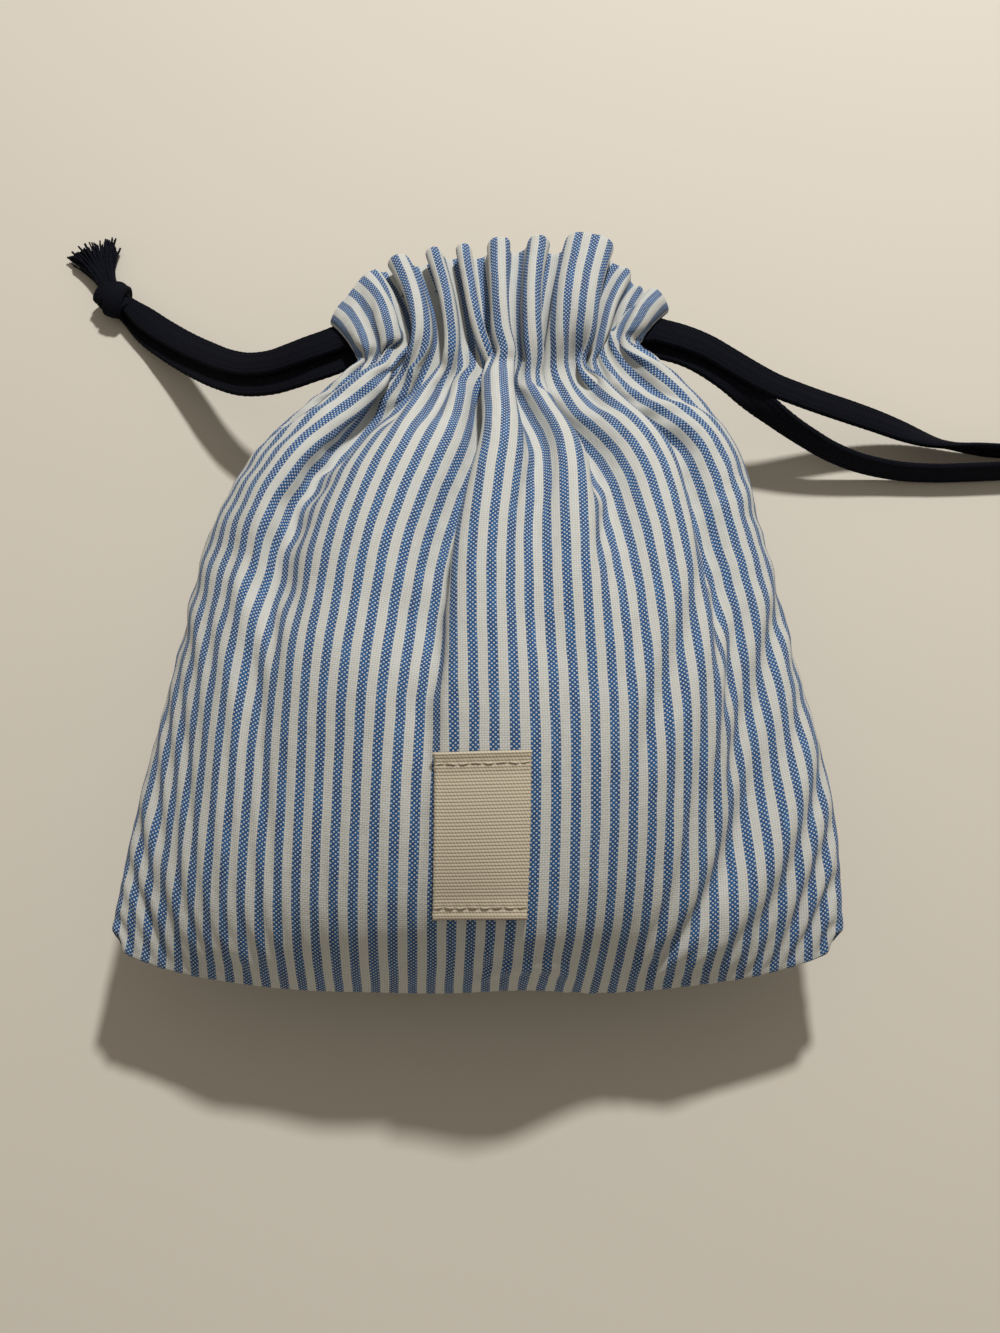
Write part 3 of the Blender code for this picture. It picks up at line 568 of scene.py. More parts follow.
def floor_look():
    """Plain pale matt surface with the faintest mottling."""
    n = Nodes("floor")
    place = n.add("ShaderNodeTexCoord").outputs["Object"]
    patch = n.noise(place, 3.0, 2.0)
    darker = tuple(0.95 * c for c in FLOOR_COLOUR)
    return n.matt(n.mix(patch, FLOOR_COLOUR, darker), 0.75, 0.2)


# Camera, light and floor

def make_camera():
    data = bpy.data.cameras.new("camera")
    data.sensor_width = SENSOR
    data.lens = FOCAL_PX * SENSOR / LONG_SIDE_PX
    data.clip_start = 0.01
    data.clip_end = 10.0
    camera = add_object("camera", data)
    back = Vector((0.0, -cos(VIEW_ELEVATION), sin(VIEW_ELEVATION)))
    camera.location = VIEW_TARGET + back * VIEW_DISTANCE
    camera.rotation_euler = (-back).to_track_quat("-Z", "Y").to_euler()
    bpy.context.scene.camera = camera


def make_light():
    data = bpy.data.lights.new("key", "AREA")
    data.shape = "DISK"
    data.size = KEY_SIZE
    data.energy = KEY_POWER
    data.color = KEY_COLOUR
    key = add_object("key", data)
    direction = KEY_DIRECTION.normalized()
    key.location = direction * KEY_DISTANCE
    key.rotation_euler = direction.to_track_quat("Z", "Y").to_euler()
    world = bpy.data.worlds.new("studio")
    world.use_nodes = True
    sky = world.node_tree.nodes["Background"]
    sky.inputs["Color"].default_value = SKY_COLOUR
    sky.inputs["Strength"].default_value = FILL_STRENGTH
    bpy.context.scene.world = world


def make_floor():
    half = FLOOR_SIZE / 2
    corners = [(-half, -half, -FLOOR_DROP), (half, -half, -FLOOR_DROP),
               (half, half, -FLOOR_DROP), (-half, half, -FLOOR_DROP)]
    floor = add_piece("floor", corners, [(0, 1, 2, 3)], floor_look())


# The bag

def seam_guide(side):
    """The left (-1) or right (1) side seam, from the hem's corner to the waist."""
    length = BODY_LENGTH
    waist_y = length + WAIST_BOW + side * NECK_TURN
    return smooth_curve([
        (HEM_LEAN + side * HEM_WIDTH / 2, CORNER_LIFT, HEM_HEIGHT),
        (BELLY_LEAN + side * (HEM_WIDTH + BELLY_WIDTH) * 0.2555, length * 0.28, SEAM_HEIGHT),
        (BELLY_LEAN + side * BELLY_WIDTH / 2, length * 0.52, SEAM_HEIGHT),
        (BELLY_LEAN + side * FLANK_WIDTH / 2, length * 0.73, SEAM_HEIGHT),
        (side * SHOULDER_WIDTH / 2, length * 0.90, SEAM_HEIGHT + 0.2 * (WAIST_HEIGHT - SEAM_HEIGHT)),
        (side * WAIST_WIDTH / 2, waist_y, WAIST_HEIGHT),
    ])


def front_guide():
    """The middle of the front panel, from the hem over the belly to the waist."""
    length = BODY_LENGTH
    rise = BELLY_HEIGHT - HEM_HEIGHT
    waist_top = WAIST_HEIGHT + WAIST_DEPTH / 2
    fall = BELLY_HEIGHT - waist_top
    return smooth_curve([
        (HEM_LEAN, 0.0, HEM_HEIGHT),
        (HEM_LEAN, length * 0.03, HEM_HEIGHT + rise * 0.29),
        (HEM_LEAN, length * 0.10, HEM_HEIGHT + rise * 0.60),
        (BELLY_LEAN, length * 0.30, HEM_HEIGHT + rise * 0.92),
        (BELLY_LEAN, length * 0.52, BELLY_HEIGHT),
        (BELLY_LEAN, length * 0.73, waist_top + fall * 0.80),
        (0.0, length * 0.88, waist_top + fall * 0.40),
        (0.0, length, waist_top),
    ])


def back_guide():
    """The middle of the back panel, from the hem along the surface to the waist."""
    length = BODY_LENGTH
    waist_floor = WAIST_HEIGHT - WAIST_DEPTH / 2
    return smooth_curve([
        (HEM_LEAN, 0.0, HEM_HEIGHT),
        (HEM_LEAN, REST_START * 0.20, HEM_HEIGHT * 0.55),
        (HEM_LEAN, REST_START * 0.55, HEM_HEIGHT * 0.17),
        (BELLY_LEAN, REST_START, 0.0),
        (BELLY_LEAN, (REST_START + REST_END) / 2, -0.0010),
        (BELLY_LEAN, REST_END, 0.0),
        (0.0, REST_END + (length - REST_END) * 0.45, waist_floor * 0.38),
        (0.0, length, waist_floor),
    ])


def casing_guide(side, level):
    """A line of the casing, from the waist to the top edge: side -1, 0 or 1, level -1, 0 or 1."""
    waist_y = BODY_LENGTH + WAIST_BOW * abs(side) + NECK_TURN * side
    mouth_y = BODY_LENGTH + CASING_LENGTH - MOUTH_BOW * abs(side) + NECK_TURN * side
    waist_z = WAIST_HEIGHT + level * WAIST_DEPTH / 2
    mouth_z = MOUTH_HEIGHT + level * MOUTH_DEPTH / 2
    lift = SIDE_LIFT * abs(side)
    middle_z = (waist_z + mouth_z) / 2 + level * 0.08 * MOUTH_DEPTH + lift
    return smooth_curve([
        (side * WAIST_WIDTH / 2, waist_y, waist_z),
        (side * (WAIST_WIDTH * 0.6 + MOUTH_WIDTH * 0.4) / 2, (waist_y + mouth_y) / 2, middle_z),
        (side * MOUTH_WIDTH / 2, mouth_y, mouth_z + lift),
    ])


def section(left, right, crown, fullness, squareness, sweep_power):
    """Cross-section from the left seam over the crown to the right seam, and its bulge."""
    place = np.sin(np.linspace(-pi / 2, pi / 2, SECTION_SAMPLES))
    bulge = np.clip(1.0 - np.abs(place) ** squareness, 0.0, 1.0) ** fullness
    sweep = 1.0 - np.abs(place) ** sweep_power
    middle = (left + right) / 2
    chord = left + (right - left) * (place[:, None] + 1) / 2
    weights = np.stack([sweep, sweep, bulge], axis=1)
    curve = chord + weights * (crown - middle)
    curve[:, 2] = np.maximum(curve[:, 2], 0.0)
    return curve, np.abs(curve[:, 2] - chord[:, 2])


def gather_pattern(across, share, gathers):
    """How strongly the cloth tilts at each place across the panel, and how far its folds lean."""
    total = np.zeros_like(across)
    lean = np.zeros_like(across)
    for place, width, reach, below, above, slant in gathers:
        if share <= 1.0:
            weight = below * near((1.0 - share) * BODY_LENGTH, reach)
        else:
            weight = below + (above - below) * min((share - 1.0) / CASING_BLEND, 1.0)
        offset = (across - place) / width
        total += weight * STEEPEST * offset * near(offset, 1.0)
        lean += slant * min(weight, 1.0) * near(offset, LEAN_REACH)
    return total, lean


def fold_row(across, pattern, length, limit):
    """Tilts that shorten the cloth to the given length: distance along it, and height."""
    step = PANEL_WIDTH / (len(across) - 1)
    low, high = 0.0, limit
    for _ in range(40):
        gain = (low + high) / 2
        tilt = MAX_TILT * np.tanh(gain * pattern / MAX_TILT)
        if np.mean(np.cos(tilt)) * PANEL_WIDTH > length:
            low = gain
        else:
            high = gain
    middle = (tilt[1:] + tilt[:-1]) / 2
    distance = np.concatenate([[0.0], np.cumsum(np.cos(middle))])
    height = np.concatenate([[0.0], np.cumsum(np.sin(middle))]) * step
    height -= np.linspace(0.0, height[-1], len(height))
    return distance / distance[-1], height


def hem_wave(across, share, reach):
    """Height of the soft waves that run along the hem and fade above it."""
    turn = across / PANEL_WIDTH * 2 * pi
    wave = 0.6 * np.sin(3.1 * turn + 0.8) + 0.5 * np.sin(4.7 * turn - 0.6)
    height = HEM_WAVE * near(share * BODY_LENGTH, reach) * wave * np.cos(turn / 2)
    return np.where(np.abs(height) < FLAT_LIMIT, 0.0, height)


def scallop(across, share):
    """How far the cloth stands beyond the mean line of the top edge."""
    rise = max(0.0, share - 1.0) ** 1.5
    return rise * sum(height * near(across - place, width) for place, width, height in MOUTH_SCALLOPS)


def dents(across, from_hem):
    """How far the creases push the front panel in at each place along one row."""
    total = np.zeros_like(across)
    for place, height, reach, width, direction, depth in FRONT_DENTS:
        c, s = cos_sin(direction)
        x, y = across - place, from_hem - height
        total += depth * near(x * c + y * s, reach) * near(y * c - x * s, width)
    return total


def panel(side, shares):
    """Grid of points of the front (1) or back (-1) panel, one row for each share."""
    gathers = FRONT_GATHERS if side > 0 else BACK_GATHERS
    squareness = 2.0 if side > 0 else 2.5
    reach = HEM_WAVE_REACH if side > 0 else HEM_WAVE_REACH / 2
    across = ACROSS
    middle_guide = front_guide() if side > 0 else back_guide()
    body = [share for share in shares if share <= 1.0]
    casing = [share - 1.0 for share in shares if share > 1.0]
    lines = []
    for low, high in ((seam_guide(-1), casing_guide(-1, 0)), (seam_guide(1), casing_guide(1, 0)),
                      (middle_guide, casing_guide(0, side))):
        lines.append(np.vstack([resample(low, body), resample(high, casing)]))
    base, depth, heights, leans = [], [], [], []
    for share, left, right, crown in zip(shares, *lines):
        fullness = 0.50 + 0.28 * max(0.0, 1.0 - share / 0.45) ** 1.5
        sweep_power = 2.0 + 1.6 * max(0.0, 1.0 - share / 0.3) + 1.2 * max(0.0, share - 1.0)
        curve, bulge = section(left, right, crown, fullness, squareness, sweep_power)
        distance = along(curve)
        limit = TILT_GAIN * min(share, 1.0) ** 2
        pattern, lean = gather_pattern(across, share, gathers)
        place, height = fold_row(across, pattern, distance[-1], limit)
        row = resample(curve, place)
        row[:, 2] += hem_wave(across, share, reach)
        away = abs(share - 1.0) * (BODY_LENGTH if share < 1.0 else CASING_LENGTH)
        long_wave, short_wave = (across * 2 * pi / period for period in WOBBLE_PERIODS)
        wobble = np.sin(long_wave + 0.6) + 0.6 * np.sin(short_wave)
        wobble *= WAIST_WOBBLE * near(away, WOBBLE_REACH)
        row[:, 1] += scallop(across, share) + wobble
        from_corner = np.hypot(PANEL_WIDTH / 2 - np.abs(across), share * BODY_LENGTH)
        tuck = near(from_corner, CORNER_REACH)
        row[:, 0] -= CORNER_ROUND * np.sign(across) * tuck
        row[:, 1] += CORNER_ROUND * tuck
        base.append(row)
        depth.append(np.interp(place * distance[-1], distance, bulge))
        leans.append(lean)
        if side > 0 and share < 1.0:
            height = height - dents(across, share * along(middle_guide)[-1])
        heights.append(height - NOTCH_DEPTH * exp(-away / NOTCH_REACH))
    base, depth, heights = np.array(base), np.array(depth), np.array(heights)
    room = np.maximum(depth - CLOTH_GAP, 1e-6)
    dip = room * np.tanh(heights / room)
    normals = unit(np.cross(np.gradient(base, axis=1), np.gradient(base, axis=0))) * side
    tangents = unit(np.gradient(base, axis=1))
    points = base + normals * dip[:, :, None]
    points += tangents * (np.array(leans) * np.maximum(-dip, 0.0))[:, :, None]
    points[:, :, 2] = np.where(base[:, :, 2] <= 0.0, 0.0, np.maximum(points[:, :, 2], 0.0))
    return points


def row_shares():
    """Rows that crowd towards the hem and the waist, then even rows up the casing."""
    t = np.linspace(0.0, 1.0, BODY_ROWS + 1)
    body = t - 0.45 * np.sin(2 * pi * t) / (2 * pi)
    rise = np.linspace(0.0, 1.0, CASING_ROWS + 1)[1:]
    return np.concatenate([body, 1.0 + rise**1.2])


def bag_grids(shares):
    """Front and back panel grids in the part's frame."""
    front = panel(1, shares)
    back = panel(-1, shares)
    back[0] = front[0]
    back[:, 0] = front[:, 0]
    back[:, -1] = front[:, -1]
    shift = NECK - np.array([0.0, BODY_LENGTH, 0.0])
    return front + shift, back + shift


def bag_mesh(front, back, shares):
    """Points, faces and cloth places of the bag, with its mouth turned in and shut inside."""
    rows = len(shares)
    heights = row_heights(shares)
    place = np.stack(np.meshgrid(ACROSS, heights), axis=2)
    points = [*front.reshape(-1, 3), *back[1:, 1:-1].reshape(-1, 3)]
    places = [*place.reshape(-1, 2), *place[1:, 1:-1].reshape(-1, 2)]
    front_count = rows * (COLUMNS + 1)
    index = np.tile(np.arange(front_count).reshape(rows, -1), (2, 1, 1))
    index[1, 1:, 1:-1] = np.arange(front_count, len(points)).reshape(rows - 1, -1)
    faces = []
    for r in range(rows - 1):
        for c in range(COLUMNS):
            ahead = [index[0, i, j] for i, j in ((r, c), (r, c + 1), (r + 1, c + 1), (r + 1, c))]
            behind = [index[1, i, j] for i, j in ((r, c), (r + 1, c), (r + 1, c + 1), (r, c + 1))]
            faces.append(tuple(ahead))
            faces.append(tuple(dict.fromkeys(behind)))
    rim = list(index[0, -1]) + list(index[1, -1, -2:0:-1])
    last = rim
    for inset, level, rise in MOUTH_RINGS:
        ring = np.array([points[i] for i in [*index[0, level], *index[1, level, -2:0:-1]]])
        tangent = np.roll(ring, -1, axis=0) - np.roll(ring, 1, axis=0)
        inward = unit(np.stack([tangent[:, 2], np.zeros(len(ring)), -tangent[:, 0]], axis=1))
        ring = ring + inward * CLOTH_EDGE * inset + np.array([0.0, rise, 0.0])
        new = list(range(len(points), len(points) + len(ring)))
        points.extend(ring)
        places.extend((places[i][0], heights[-1] * 2 - heights[level]) for i in rim)
        for i in range(len(ring)):
            j = (i + 1) % len(ring)
            faces.append((last[i], last[j], new[j], new[i]))
        last = new
    size = len(last)
    for i in range(COLUMNS):
        corners = [last[i], last[i + 1], last[(size - i - 1) % size], last[(size - i) % size]]
        faces.append(tuple(dict.fromkeys(corners)))
    return points, faces, places


def row_heights(shares):
    """Distance along the cloth from the hem to each row."""
    body = along(front_guide())[-1]
    shares = np.array(shares)
    return np.where(shares <= 1.0, shares * body, body + (shares - 1.0) * CASING_LENGTH)


def pull(points, first, second, rest, firmness):
    """Move pairs of cloth points towards their rest distance, half the change each."""
    a, b = points[first], points[second]
    apart = b - a
    length = np.maximum(np.linalg.norm(apart, axis=-1, keepdims=True), 1e-9)
    change = apart * (0.5 * firmness * (length - rest) / length)
    points[first] = a + change
    points[second] = b - change


def hold_firmness(shares):
    """How firmly each point of the rings is drawn back to its drawn place, each round."""
    row = np.array(shares)[:, None]
    away = np.abs(row - 1.0) * np.where(row < 1.0, BODY_LENGTH, CASING_LENGTH)
    turn = np.arange(2 * COLUMNS)[None, :]
    from_seam = np.minimum(turn % COLUMNS, COLUMNS - turn % COLUMNS) * PANEL_WIDTH / COLUMNS
    waist = HOLD_WAIST * near(away, WAIST_REACH)
    seam = HOLD_SEAM * near(from_seam, SEAM_REACH)
    hem = HOLD_HEM * near(row * BODY_LENGTH, HEM_REACH)
    front = np.where(row > 1.0, HOLD_CASING, HOLD_FRONT)
    cloth = np.where(turn > COLUMNS, HOLD_BACK, front)
    return np.maximum.reduce(np.broadcast_arrays(waist, seam, hem, cloth))[:, :, None]


def settle(front, back, shares):
    """Let the gathered cloth find its own folds, by a position-based simulation: threads keep
    their woven lengths, the contents press outwards, and the drawn shape holds it lightly."""
    drawn = np.concatenate([front, back[:, -2:0:-1]], axis=1)
    points = drawn.copy()
    count = points.shape[1]
    pitch = PANEL_WIDTH / COLUMNS
    woven = np.diff(row_heights(shares))[:, None, None]
    drawn_rise = np.linalg.norm(np.diff(drawn, axis=0), axis=2, keepdims=True)
    in_casing = np.array(shares)[1:, None, None] > 1.0
    rise = np.where(in_casing, np.minimum(woven, drawn_rise), woven)
    hold = hold_firmness(shares)
    every = np.arange(count)
    rows = np.arange(len(shares))

    def pull_rows(reach, firmness):
        for parity in (0, 1):
            first = every[(every // reach) % 2 == parity]
            pull(points, np.ix_(rows, first), np.ix_(rows, (first + reach) % count),
                 reach * pitch, firmness)
    for _ in range(SIM_ROUNDS):
        pull_rows(1, 1.0)
        for parity in (0, 1):
            lower = rows[parity:-1:2]
            pull(points, np.ix_(lower, every), np.ix_(lower + 1, every), rise[lower], 1.0)
            slant = np.hypot(pitch, rise[lower])
            for step in (1, -1):
                pull(points, np.ix_(lower, every), np.ix_(lower + 1, (every + step) % count),
                     slant, SIM_SHEAR)
        for reach, firmness in SIM_BENDS:
            pull_rows(reach, firmness)
        for parity in (0, 1):
            lower = rows[:-2][(rows[:-2] // 2) % 2 == parity]
            pull(points, np.ix_(lower, every), np.ix_(lower + 2, every),
                 rise[lower] + rise[lower + 1], SIM_BEND)
        ahead = np.roll(points, -1, axis=1) - np.roll(points, 1, axis=1)
        points += SIM_PRESSURE * unit(np.cross(ahead, np.gradient(points, axis=0)))
        points += hold * (drawn - points)
        points[:, :, 2] = np.maximum(points[:, :, 2], 0.0)
        hem = (points[0, 1:COLUMNS] + points[0, :COLUMNS:-1]) / 2
        points[0, 1:COLUMNS], points[0, :COLUMNS:-1] = hem, hem
    front = points[:, :COLUMNS + 1]
    back = np.concatenate([points[:, :1], points[:, :COLUMNS - 1:-1]], axis=1)
    return front, back


def make_bag(look):
    shares = row_shares()
    front, back = bag_grids(shares)
    front, back = settle(front, back, shares)
    points, faces, places = bag_mesh(front, back, shares)
    bag = add_piece("pouch", points, faces, look, places)
    smooth = bag.modifiers.new("smooth", "SUBSURF")
    smooth.levels = smooth.render_levels = 1
    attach(bag, "root")
    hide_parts("pouch_body")
    return front, shares


# The label

def cloth_point(grid, shares, across, from_hem):
    """Point and outward normal of the front panel at a place across it and above the hem."""
    share = from_hem / along(front_guide())[-1]
    row = np.interp(share, shares, np.arange(len(shares)))
    column = (across / PANEL_WIDTH + 0.5) * COLUMNS
    r, c = min(int(row), len(shares) - 2), min(int(column), COLUMNS - 1)
    fr, fc = row - r, column - c
    low = grid[r, c] * (1 - fc) + grid[r, c + 1] * fc
    high = grid[r + 1, c] * (1 - fc) + grid[r + 1, c + 1] * fc
    tangent = (grid[r, c + 1] - grid[r, c]) * (1 - fr) + (grid[r + 1, c + 1] - grid[r + 1, c]) * fr
    return low * (1 - fr) + high * fr, unit(np.cross(tangent, high - low))


def calm(grid):
    """The grid with its fine ripples ironed out, as the stiff label and its seam do below it."""
    for _ in range(CALM_ROUNDS):
        middle = (grid[1:-1, 1:-1] + grid[:-2, 1:-1] + grid[2:, 1:-1] + grid[1:-1, :-2]
                  + grid[1:-1, 2:]) / 5
        grid = grid.copy()
        grid[1:-1, 1:-1] = middle
    return grid


def label_point(grid, shares, across, up, height):
    """A point over the label's place: across and up from its lower middle, and above the cloth."""
    point, normal = cloth_point(grid, shares, LABEL_OFFSET + across, LABEL_FROM_HEM + up)
    return point + normal * height


def make_label(grid, shares, look):
    """The tape as a thin closed plate, thicker where its ends are turned under."""
    columns, rows = 28, 52
    verts, places, faces = [], [], []
    for top in (0, 1):
        for up in np.linspace(0.0, LABEL_LENGTH, rows + 1):
            from_end = min(up, LABEL_LENGTH - up)
            turned = 1.0 / (1.0 + exp((from_end - LABEL_TURN_IN) / TURN_SOFTNESS))
            lip = LABEL_LIP * near(from_end, LIP_REACH)
            for across in np.linspace(-LABEL_WIDTH / 2, LABEL_WIDTH / 2, columns + 1):
                from_side = LABEL_WIDTH / 2 - abs(across)
                stitched = 0.5 + 0.5 * cos(2 * pi * across / STITCH_PITCH)
                drawn_in = SEAM_PULL * near(from_end - THREAD_MARGIN, PULL_REACH) * stitched
                height = LABEL_GAP + lip + LABEL_EDGE * near(from_side, EDGE_REACH)
                if top:
                    height += LABEL_THICKNESS * (1.0 + 0.6 * turned) - drawn_in
                on_edge = from_side < EDGE_REACH / 3
                fray = LABEL_FRAY * sin(up * 5200.0 + across * 300.0) * on_edge
                verts.append(label_point(grid, shares, across + fray, up, height))
                places.append((across, up))
    size = (columns + 1) * (rows + 1)

    def at(layer, r, c):
        return layer * size + r * (columns + 1) + c
    for r in range(rows):
        for c in range(columns):
            faces.append((at(1, r, c), at(1, r, c + 1), at(1, r + 1, c + 1), at(1, r + 1, c)))
            faces.append((at(0, r, c), at(0, r + 1, c), at(0, r + 1, c + 1), at(0, r, c + 1)))
    for r in range(rows):
        faces.append((at(0, r, 0), at(1, r, 0), at(1, r + 1, 0), at(0, r + 1, 0)))
        faces.append((at(0, r, columns), at(0, r + 1, columns), at(1, r + 1, columns), at(1, r, columns)))
    for c in range(columns):
        faces.append((at(0, 0, c), at(0, 0, c + 1), at(1, 0, c + 1), at(1, 0, c)))
        faces.append((at(0, rows, c), at(1, rows, c), at(1, rows, c + 1), at(0, rows, c + 1)))
    label = add_piece("woven_label", verts, faces, look, places)
    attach(label, "root")
    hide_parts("label")


def sweep(points, sides, ups, profile):
    """A closed tube: the profile's (x, y) points carried along sides and ups. Verts and faces."""
    verts, faces = [], []
    for point, side, up, ring in zip(points, sides, ups, profile):
        verts.extend(point + side * x + up * y for x, y in ring)
    size = len(profile[0])
    for r in range(len(points) - 1):
        for i in range(size):
            j = (i + 1) % size
            faces.append((r * size + i, r * size + j, (r + 1) * size + j, (r + 1) * size + i))
    last = (len(points) - 1) * size
    faces.append(tuple(range(size))[::-1])
    faces.append(tuple(range(last, last + size)))
    return verts, faces


def make_stitches(name, grid, shares, up, look, node):
    """One row of running stitches: each is a short thread that dives into the tape at both ends."""
    verts, faces = [], []
    count = int((LABEL_WIDTH - 2 * STITCH_MARGIN) / STITCH_PITCH)
    radius = THREAD_DIAMETER / 2
    for k in range(count + 1):
        middle = (k - count / 2) * STITCH_PITCH
        points = []
        for t in np.linspace(-1.0, 1.0, 9):
            lift = LABEL_GAP + LABEL_THICKNESS * 1.6 + radius * (0.7 - 1.9 * abs(t) ** 3)
            points.append(label_point(grid, shares, middle + t * STITCH_LENGTH / 2,
                                      up + STITCH_WOBBLE * sin(9.0 * k + 2.0 * t), lift))
        points = np.array(points)
        forward = unit(np.gradient(points, axis=0))
        normal = cloth_point(grid, shares, LABEL_OFFSET + middle, LABEL_FROM_HEM + up)[1]
        side = unit(np.cross(forward, normal))
        rings = [circle(radius * sqrt(max(1.0 - 0.85 * t**4, 0.05)), 8)
                 for t in np.linspace(-1.0, 1.0, 9)]
        join(verts, faces, *sweep(points, side, np.tile(normal, (len(points), 1)), rings))
    thread = add_piece(name, verts, faces, look)
    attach(thread, "root")
    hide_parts(node)


# Cords, knots and tassels

def braid_profile(width, thickness, share):
    """The ribbed slot section of the braid, with its sides waving as the yarns turn back."""
    ring = []
    edge = 1.0 + 0.022 * sin(share)
    for i in range(PROFILE_POINTS):
        angle = 2 * pi * i / PROFILE_POINTS
        x = copysign(abs(cos(angle)) ** 0.75, cos(angle)) * width / 2 * edge
        flat = copysign(abs(sin(angle)) ** 0.60, sin(angle)) * thickness / 2
        rib = cos(2 * pi * CORD_RIBS * (x / width + 0.5))
        ring.append((x, flat - copysign(CORD_RIB_DEPTH * (0.5 + 0.5 * rib), flat)))
    return ring


def strand_frames(curve, rolls):
    """Width and thickness directions of a flat cord along its curve."""
    forward = unit(np.gradient(curve, axis=0))
    side = unit(np.cross(forward, np.array([0.0, 0.0, 1.0])))
    up = np.cross(side, forward)
    angle = np.radians(rolls)[:, None]
    return side * np.cos(angle) + up * np.sin(angle), up * np.cos(angle) - side * np.sin(angle)


def make_strand(name, route, shift, look, node):
    """One strand from inside the casing to its knot."""
    curve = smooth_curve(route)
    from_knot = np.linalg.norm(curve[:, :2] - curve[-1, :2], axis=1)
    curve = curve[from_knot >= KNOT_LENGTH / 2 - KNOT_GRIP]
    curve[:, :3] += NECK + np.array(shift)
    curve[:, 2] -= EXIT_DROP * near(along(curve), EXIT_REACH)
    start = curve[0].copy()
    inside = start.copy()
    inside[:2] -= unit(curve[4, :2] - curve[0, :2]) * INSIDE_LENGTH
    inside[1] -= INSIDE_TURN
    curve = np.vstack([inside, curve])
    count = round(along(curve)[-1] / CORD_STEP)
    points = resample(curve, np.linspace(0.0, 1.0, count + 1))
    line, rolls = points[:, :3], points[:, 3]
    sides, ups = strand_frames(line, rolls)
    distance = along(line)
    profile = []
    for d in distance:
        width = CORD_WIDTH * (1.0 - KNOT_PINCH * near(distance[-1] - d, KNOT_PINCH_REACH))
        profile.append(braid_profile(width, CORD_THICKNESS, 2 * pi * d / PICOT_PITCH))
    verts, faces = sweep(line, sides, ups, profile)
    places = [(x, d) for d, ring in zip(distance, profile) for x, _ in ring]
    strand = add_piece(name, verts, faces, look, places)
    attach(strand, "root")
    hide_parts(node)


def turned(points, place, heading):
    """Local points, x along the heading, moved to their place in the part's frame."""
    c, s = cos_sin(heading)
    turn = np.array([[c, -s, 0.0], [s, c, 0.0], [0.0, 0.0, 1.0]])
    return np.asarray(points) @ turn.T + np.asarray(place)


def knot_wrap(tilt, offset, radius_y, radius_z, width, thickness):
    """One turn of braid round the knot, slanting by tilt degrees: verts, faces and places."""
    steps = 72
    angles = np.linspace(0.0, 2 * pi, steps, endpoint=False)
    c, s = cos_sin(tilt)
    axis, across, up = np.array([(c, s, 0.0), (-s, c, 0.0), (0.0, 0.0, 1.0)])
    verts, places = [], []
    for k, a in enumerate(angles):
        out = across * cos(a) * radius_y + up * sin(a) * radius_z
        normal = unit(across * cos(a) / radius_y + up * sin(a) / radius_z)
        centre = axis * offset + out - normal * thickness / 2
        for x, y in braid_profile(width, thickness, k * 2.1):
            verts.append(centre + axis * x + normal * y)
            places.append((x, a * radius_y))
    size = len(verts) // steps
    faces = []
    for k in range(steps):
        m = (k + 1) % steps
        for i in range(size):
            j = (i + 1) % size
            faces.append((k * size + i, m * size + i, m * size + j, k * size + j))
    return verts, faces, places


def make_knot(name, place, heading, look, node):
    """An overhand knot: slanting turns of braid over the strands that pass through."""
    verts, faces, places = [], [], []
    for tilt, offset, grow, width in KNOT_WRAPS:
        new, quads, uv = knot_wrap(tilt, offset, KNOT_WIDTH / 2 * grow, KNOT_HEIGHT / 2 * grow,
                                   width, CORD_THICKNESS * 0.95)
        join(verts, faces, new, quads)
        places.extend(uv)
    knot = add_piece(name, turned(verts, np.array(place) + NECK, heading), faces, look, places)
    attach(knot, "root")
    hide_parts(node)
    return knot


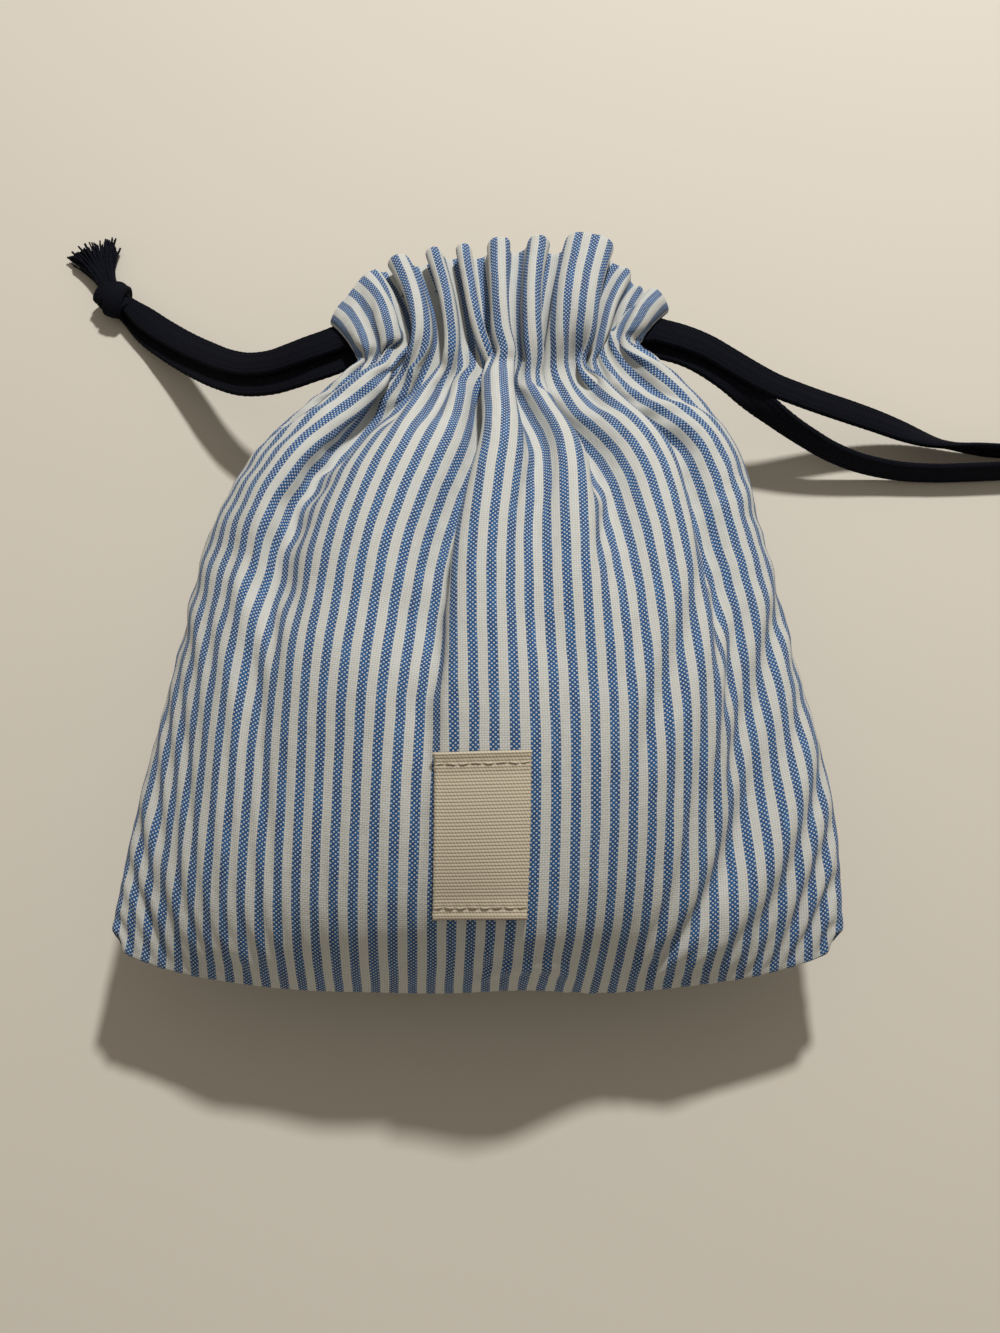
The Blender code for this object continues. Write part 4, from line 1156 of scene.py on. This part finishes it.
def make_tassel(name, knot_place, knot_heading, heading, look, node, seed):
    """The frayed end: loose yarns that fan out flat from the knot."""
    rng = np.random.default_rng(seed)
    turn = radians(heading - knot_heading)
    radius = 1.0 / hypot(cos(turn) / KNOT_LENGTH, sin(turn) / KNOT_WIDTH) / 2
    start = radius - 2 * KNOT_GRIP
    steps = 7
    verts, faces, places = [], [], []
    for _ in range(TAIL_FIBRES):
        spread, level = rng.uniform(-1.0, 1.0), rng.uniform(-1.0, 1.0)
        reach = start + TAIL_REACH * (1.0 - 0.22 * rng.random() ** 1.5)
        bend = rng.normal(0.0, FIBRE_BEND, 2)
        thick = rng.uniform(*FIBRE_RADII)
        t = np.linspace(0.0, 1.0, steps)
        x = start + (reach - start) * t
        wide = (TAIL_ROOT * 0.36 + (TAIL_END - TAIL_ROOT * 0.72) / 2 * t**2.2) * spread
        y = wide + bend[0] * np.sin(5.0 * t + spread * 3.0) * t
        z = level * TAIL_HEIGHT * 0.40 * (1.0 - 0.35 * t) + bend[1] * np.sin(4.0 * t + level) * t
        points = np.stack([x, y, z], axis=1)
        forward = unit(np.gradient(points, axis=0))
        side = unit(np.cross(forward, np.array([0.0, 0.0, 1.0])))
        up = np.cross(side, forward)
        rings = [circle(thick * (1.0 - 0.45 * share), 6) for share in t]
        join(verts, faces, *sweep(points, side, up, rings))
        places.extend((p[1], p[0]) for p in points for _ in range(6))
    origin = np.array([knot_place[0], knot_place[1], TAIL_HEIGHT / 2]) + NECK
    tassel = add_piece(name, turned(verts, origin, heading), faces, look, places)
    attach(tassel, "root")
    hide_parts(node)
    return tassel


def make_cords():
    look = braided_cord()
    for side, values in CORDS.items():
        place, heading, tail_heading, upper, upper_shift, lower, lower_shift, seed = values
        knot = make_knot(side + "_cord_knot", place, heading, look, side + "_knot")
        tassel = make_tassel(side + "_cord_tassel", place, heading, tail_heading, look,
                             side + "_tail", seed)
        make_strand(side + "_cord_upper", upper, upper_shift, look, side + "_strand_upper")
        make_strand(side + "_cord_lower", lower, lower_shift, look, side + "_strand_lower")


make_camera()
make_cords()
front_grid, grid_shares = make_bag(striped_cloth())
front_grid = calm(front_grid)
make_label(front_grid, grid_shares, label_tape())
thread_look = sewing_thread()
make_stitches("label_thread_lower", front_grid, grid_shares, THREAD_MARGIN, thread_look,
              "label_stitches_lower")
make_stitches("label_thread_upper", front_grid, grid_shares, LABEL_LENGTH - THREAD_MARGIN,
              thread_look, "label_stitches_upper")
make_light()
make_floor()
bpy.context.scene.view_settings.view_transform = "Standard"
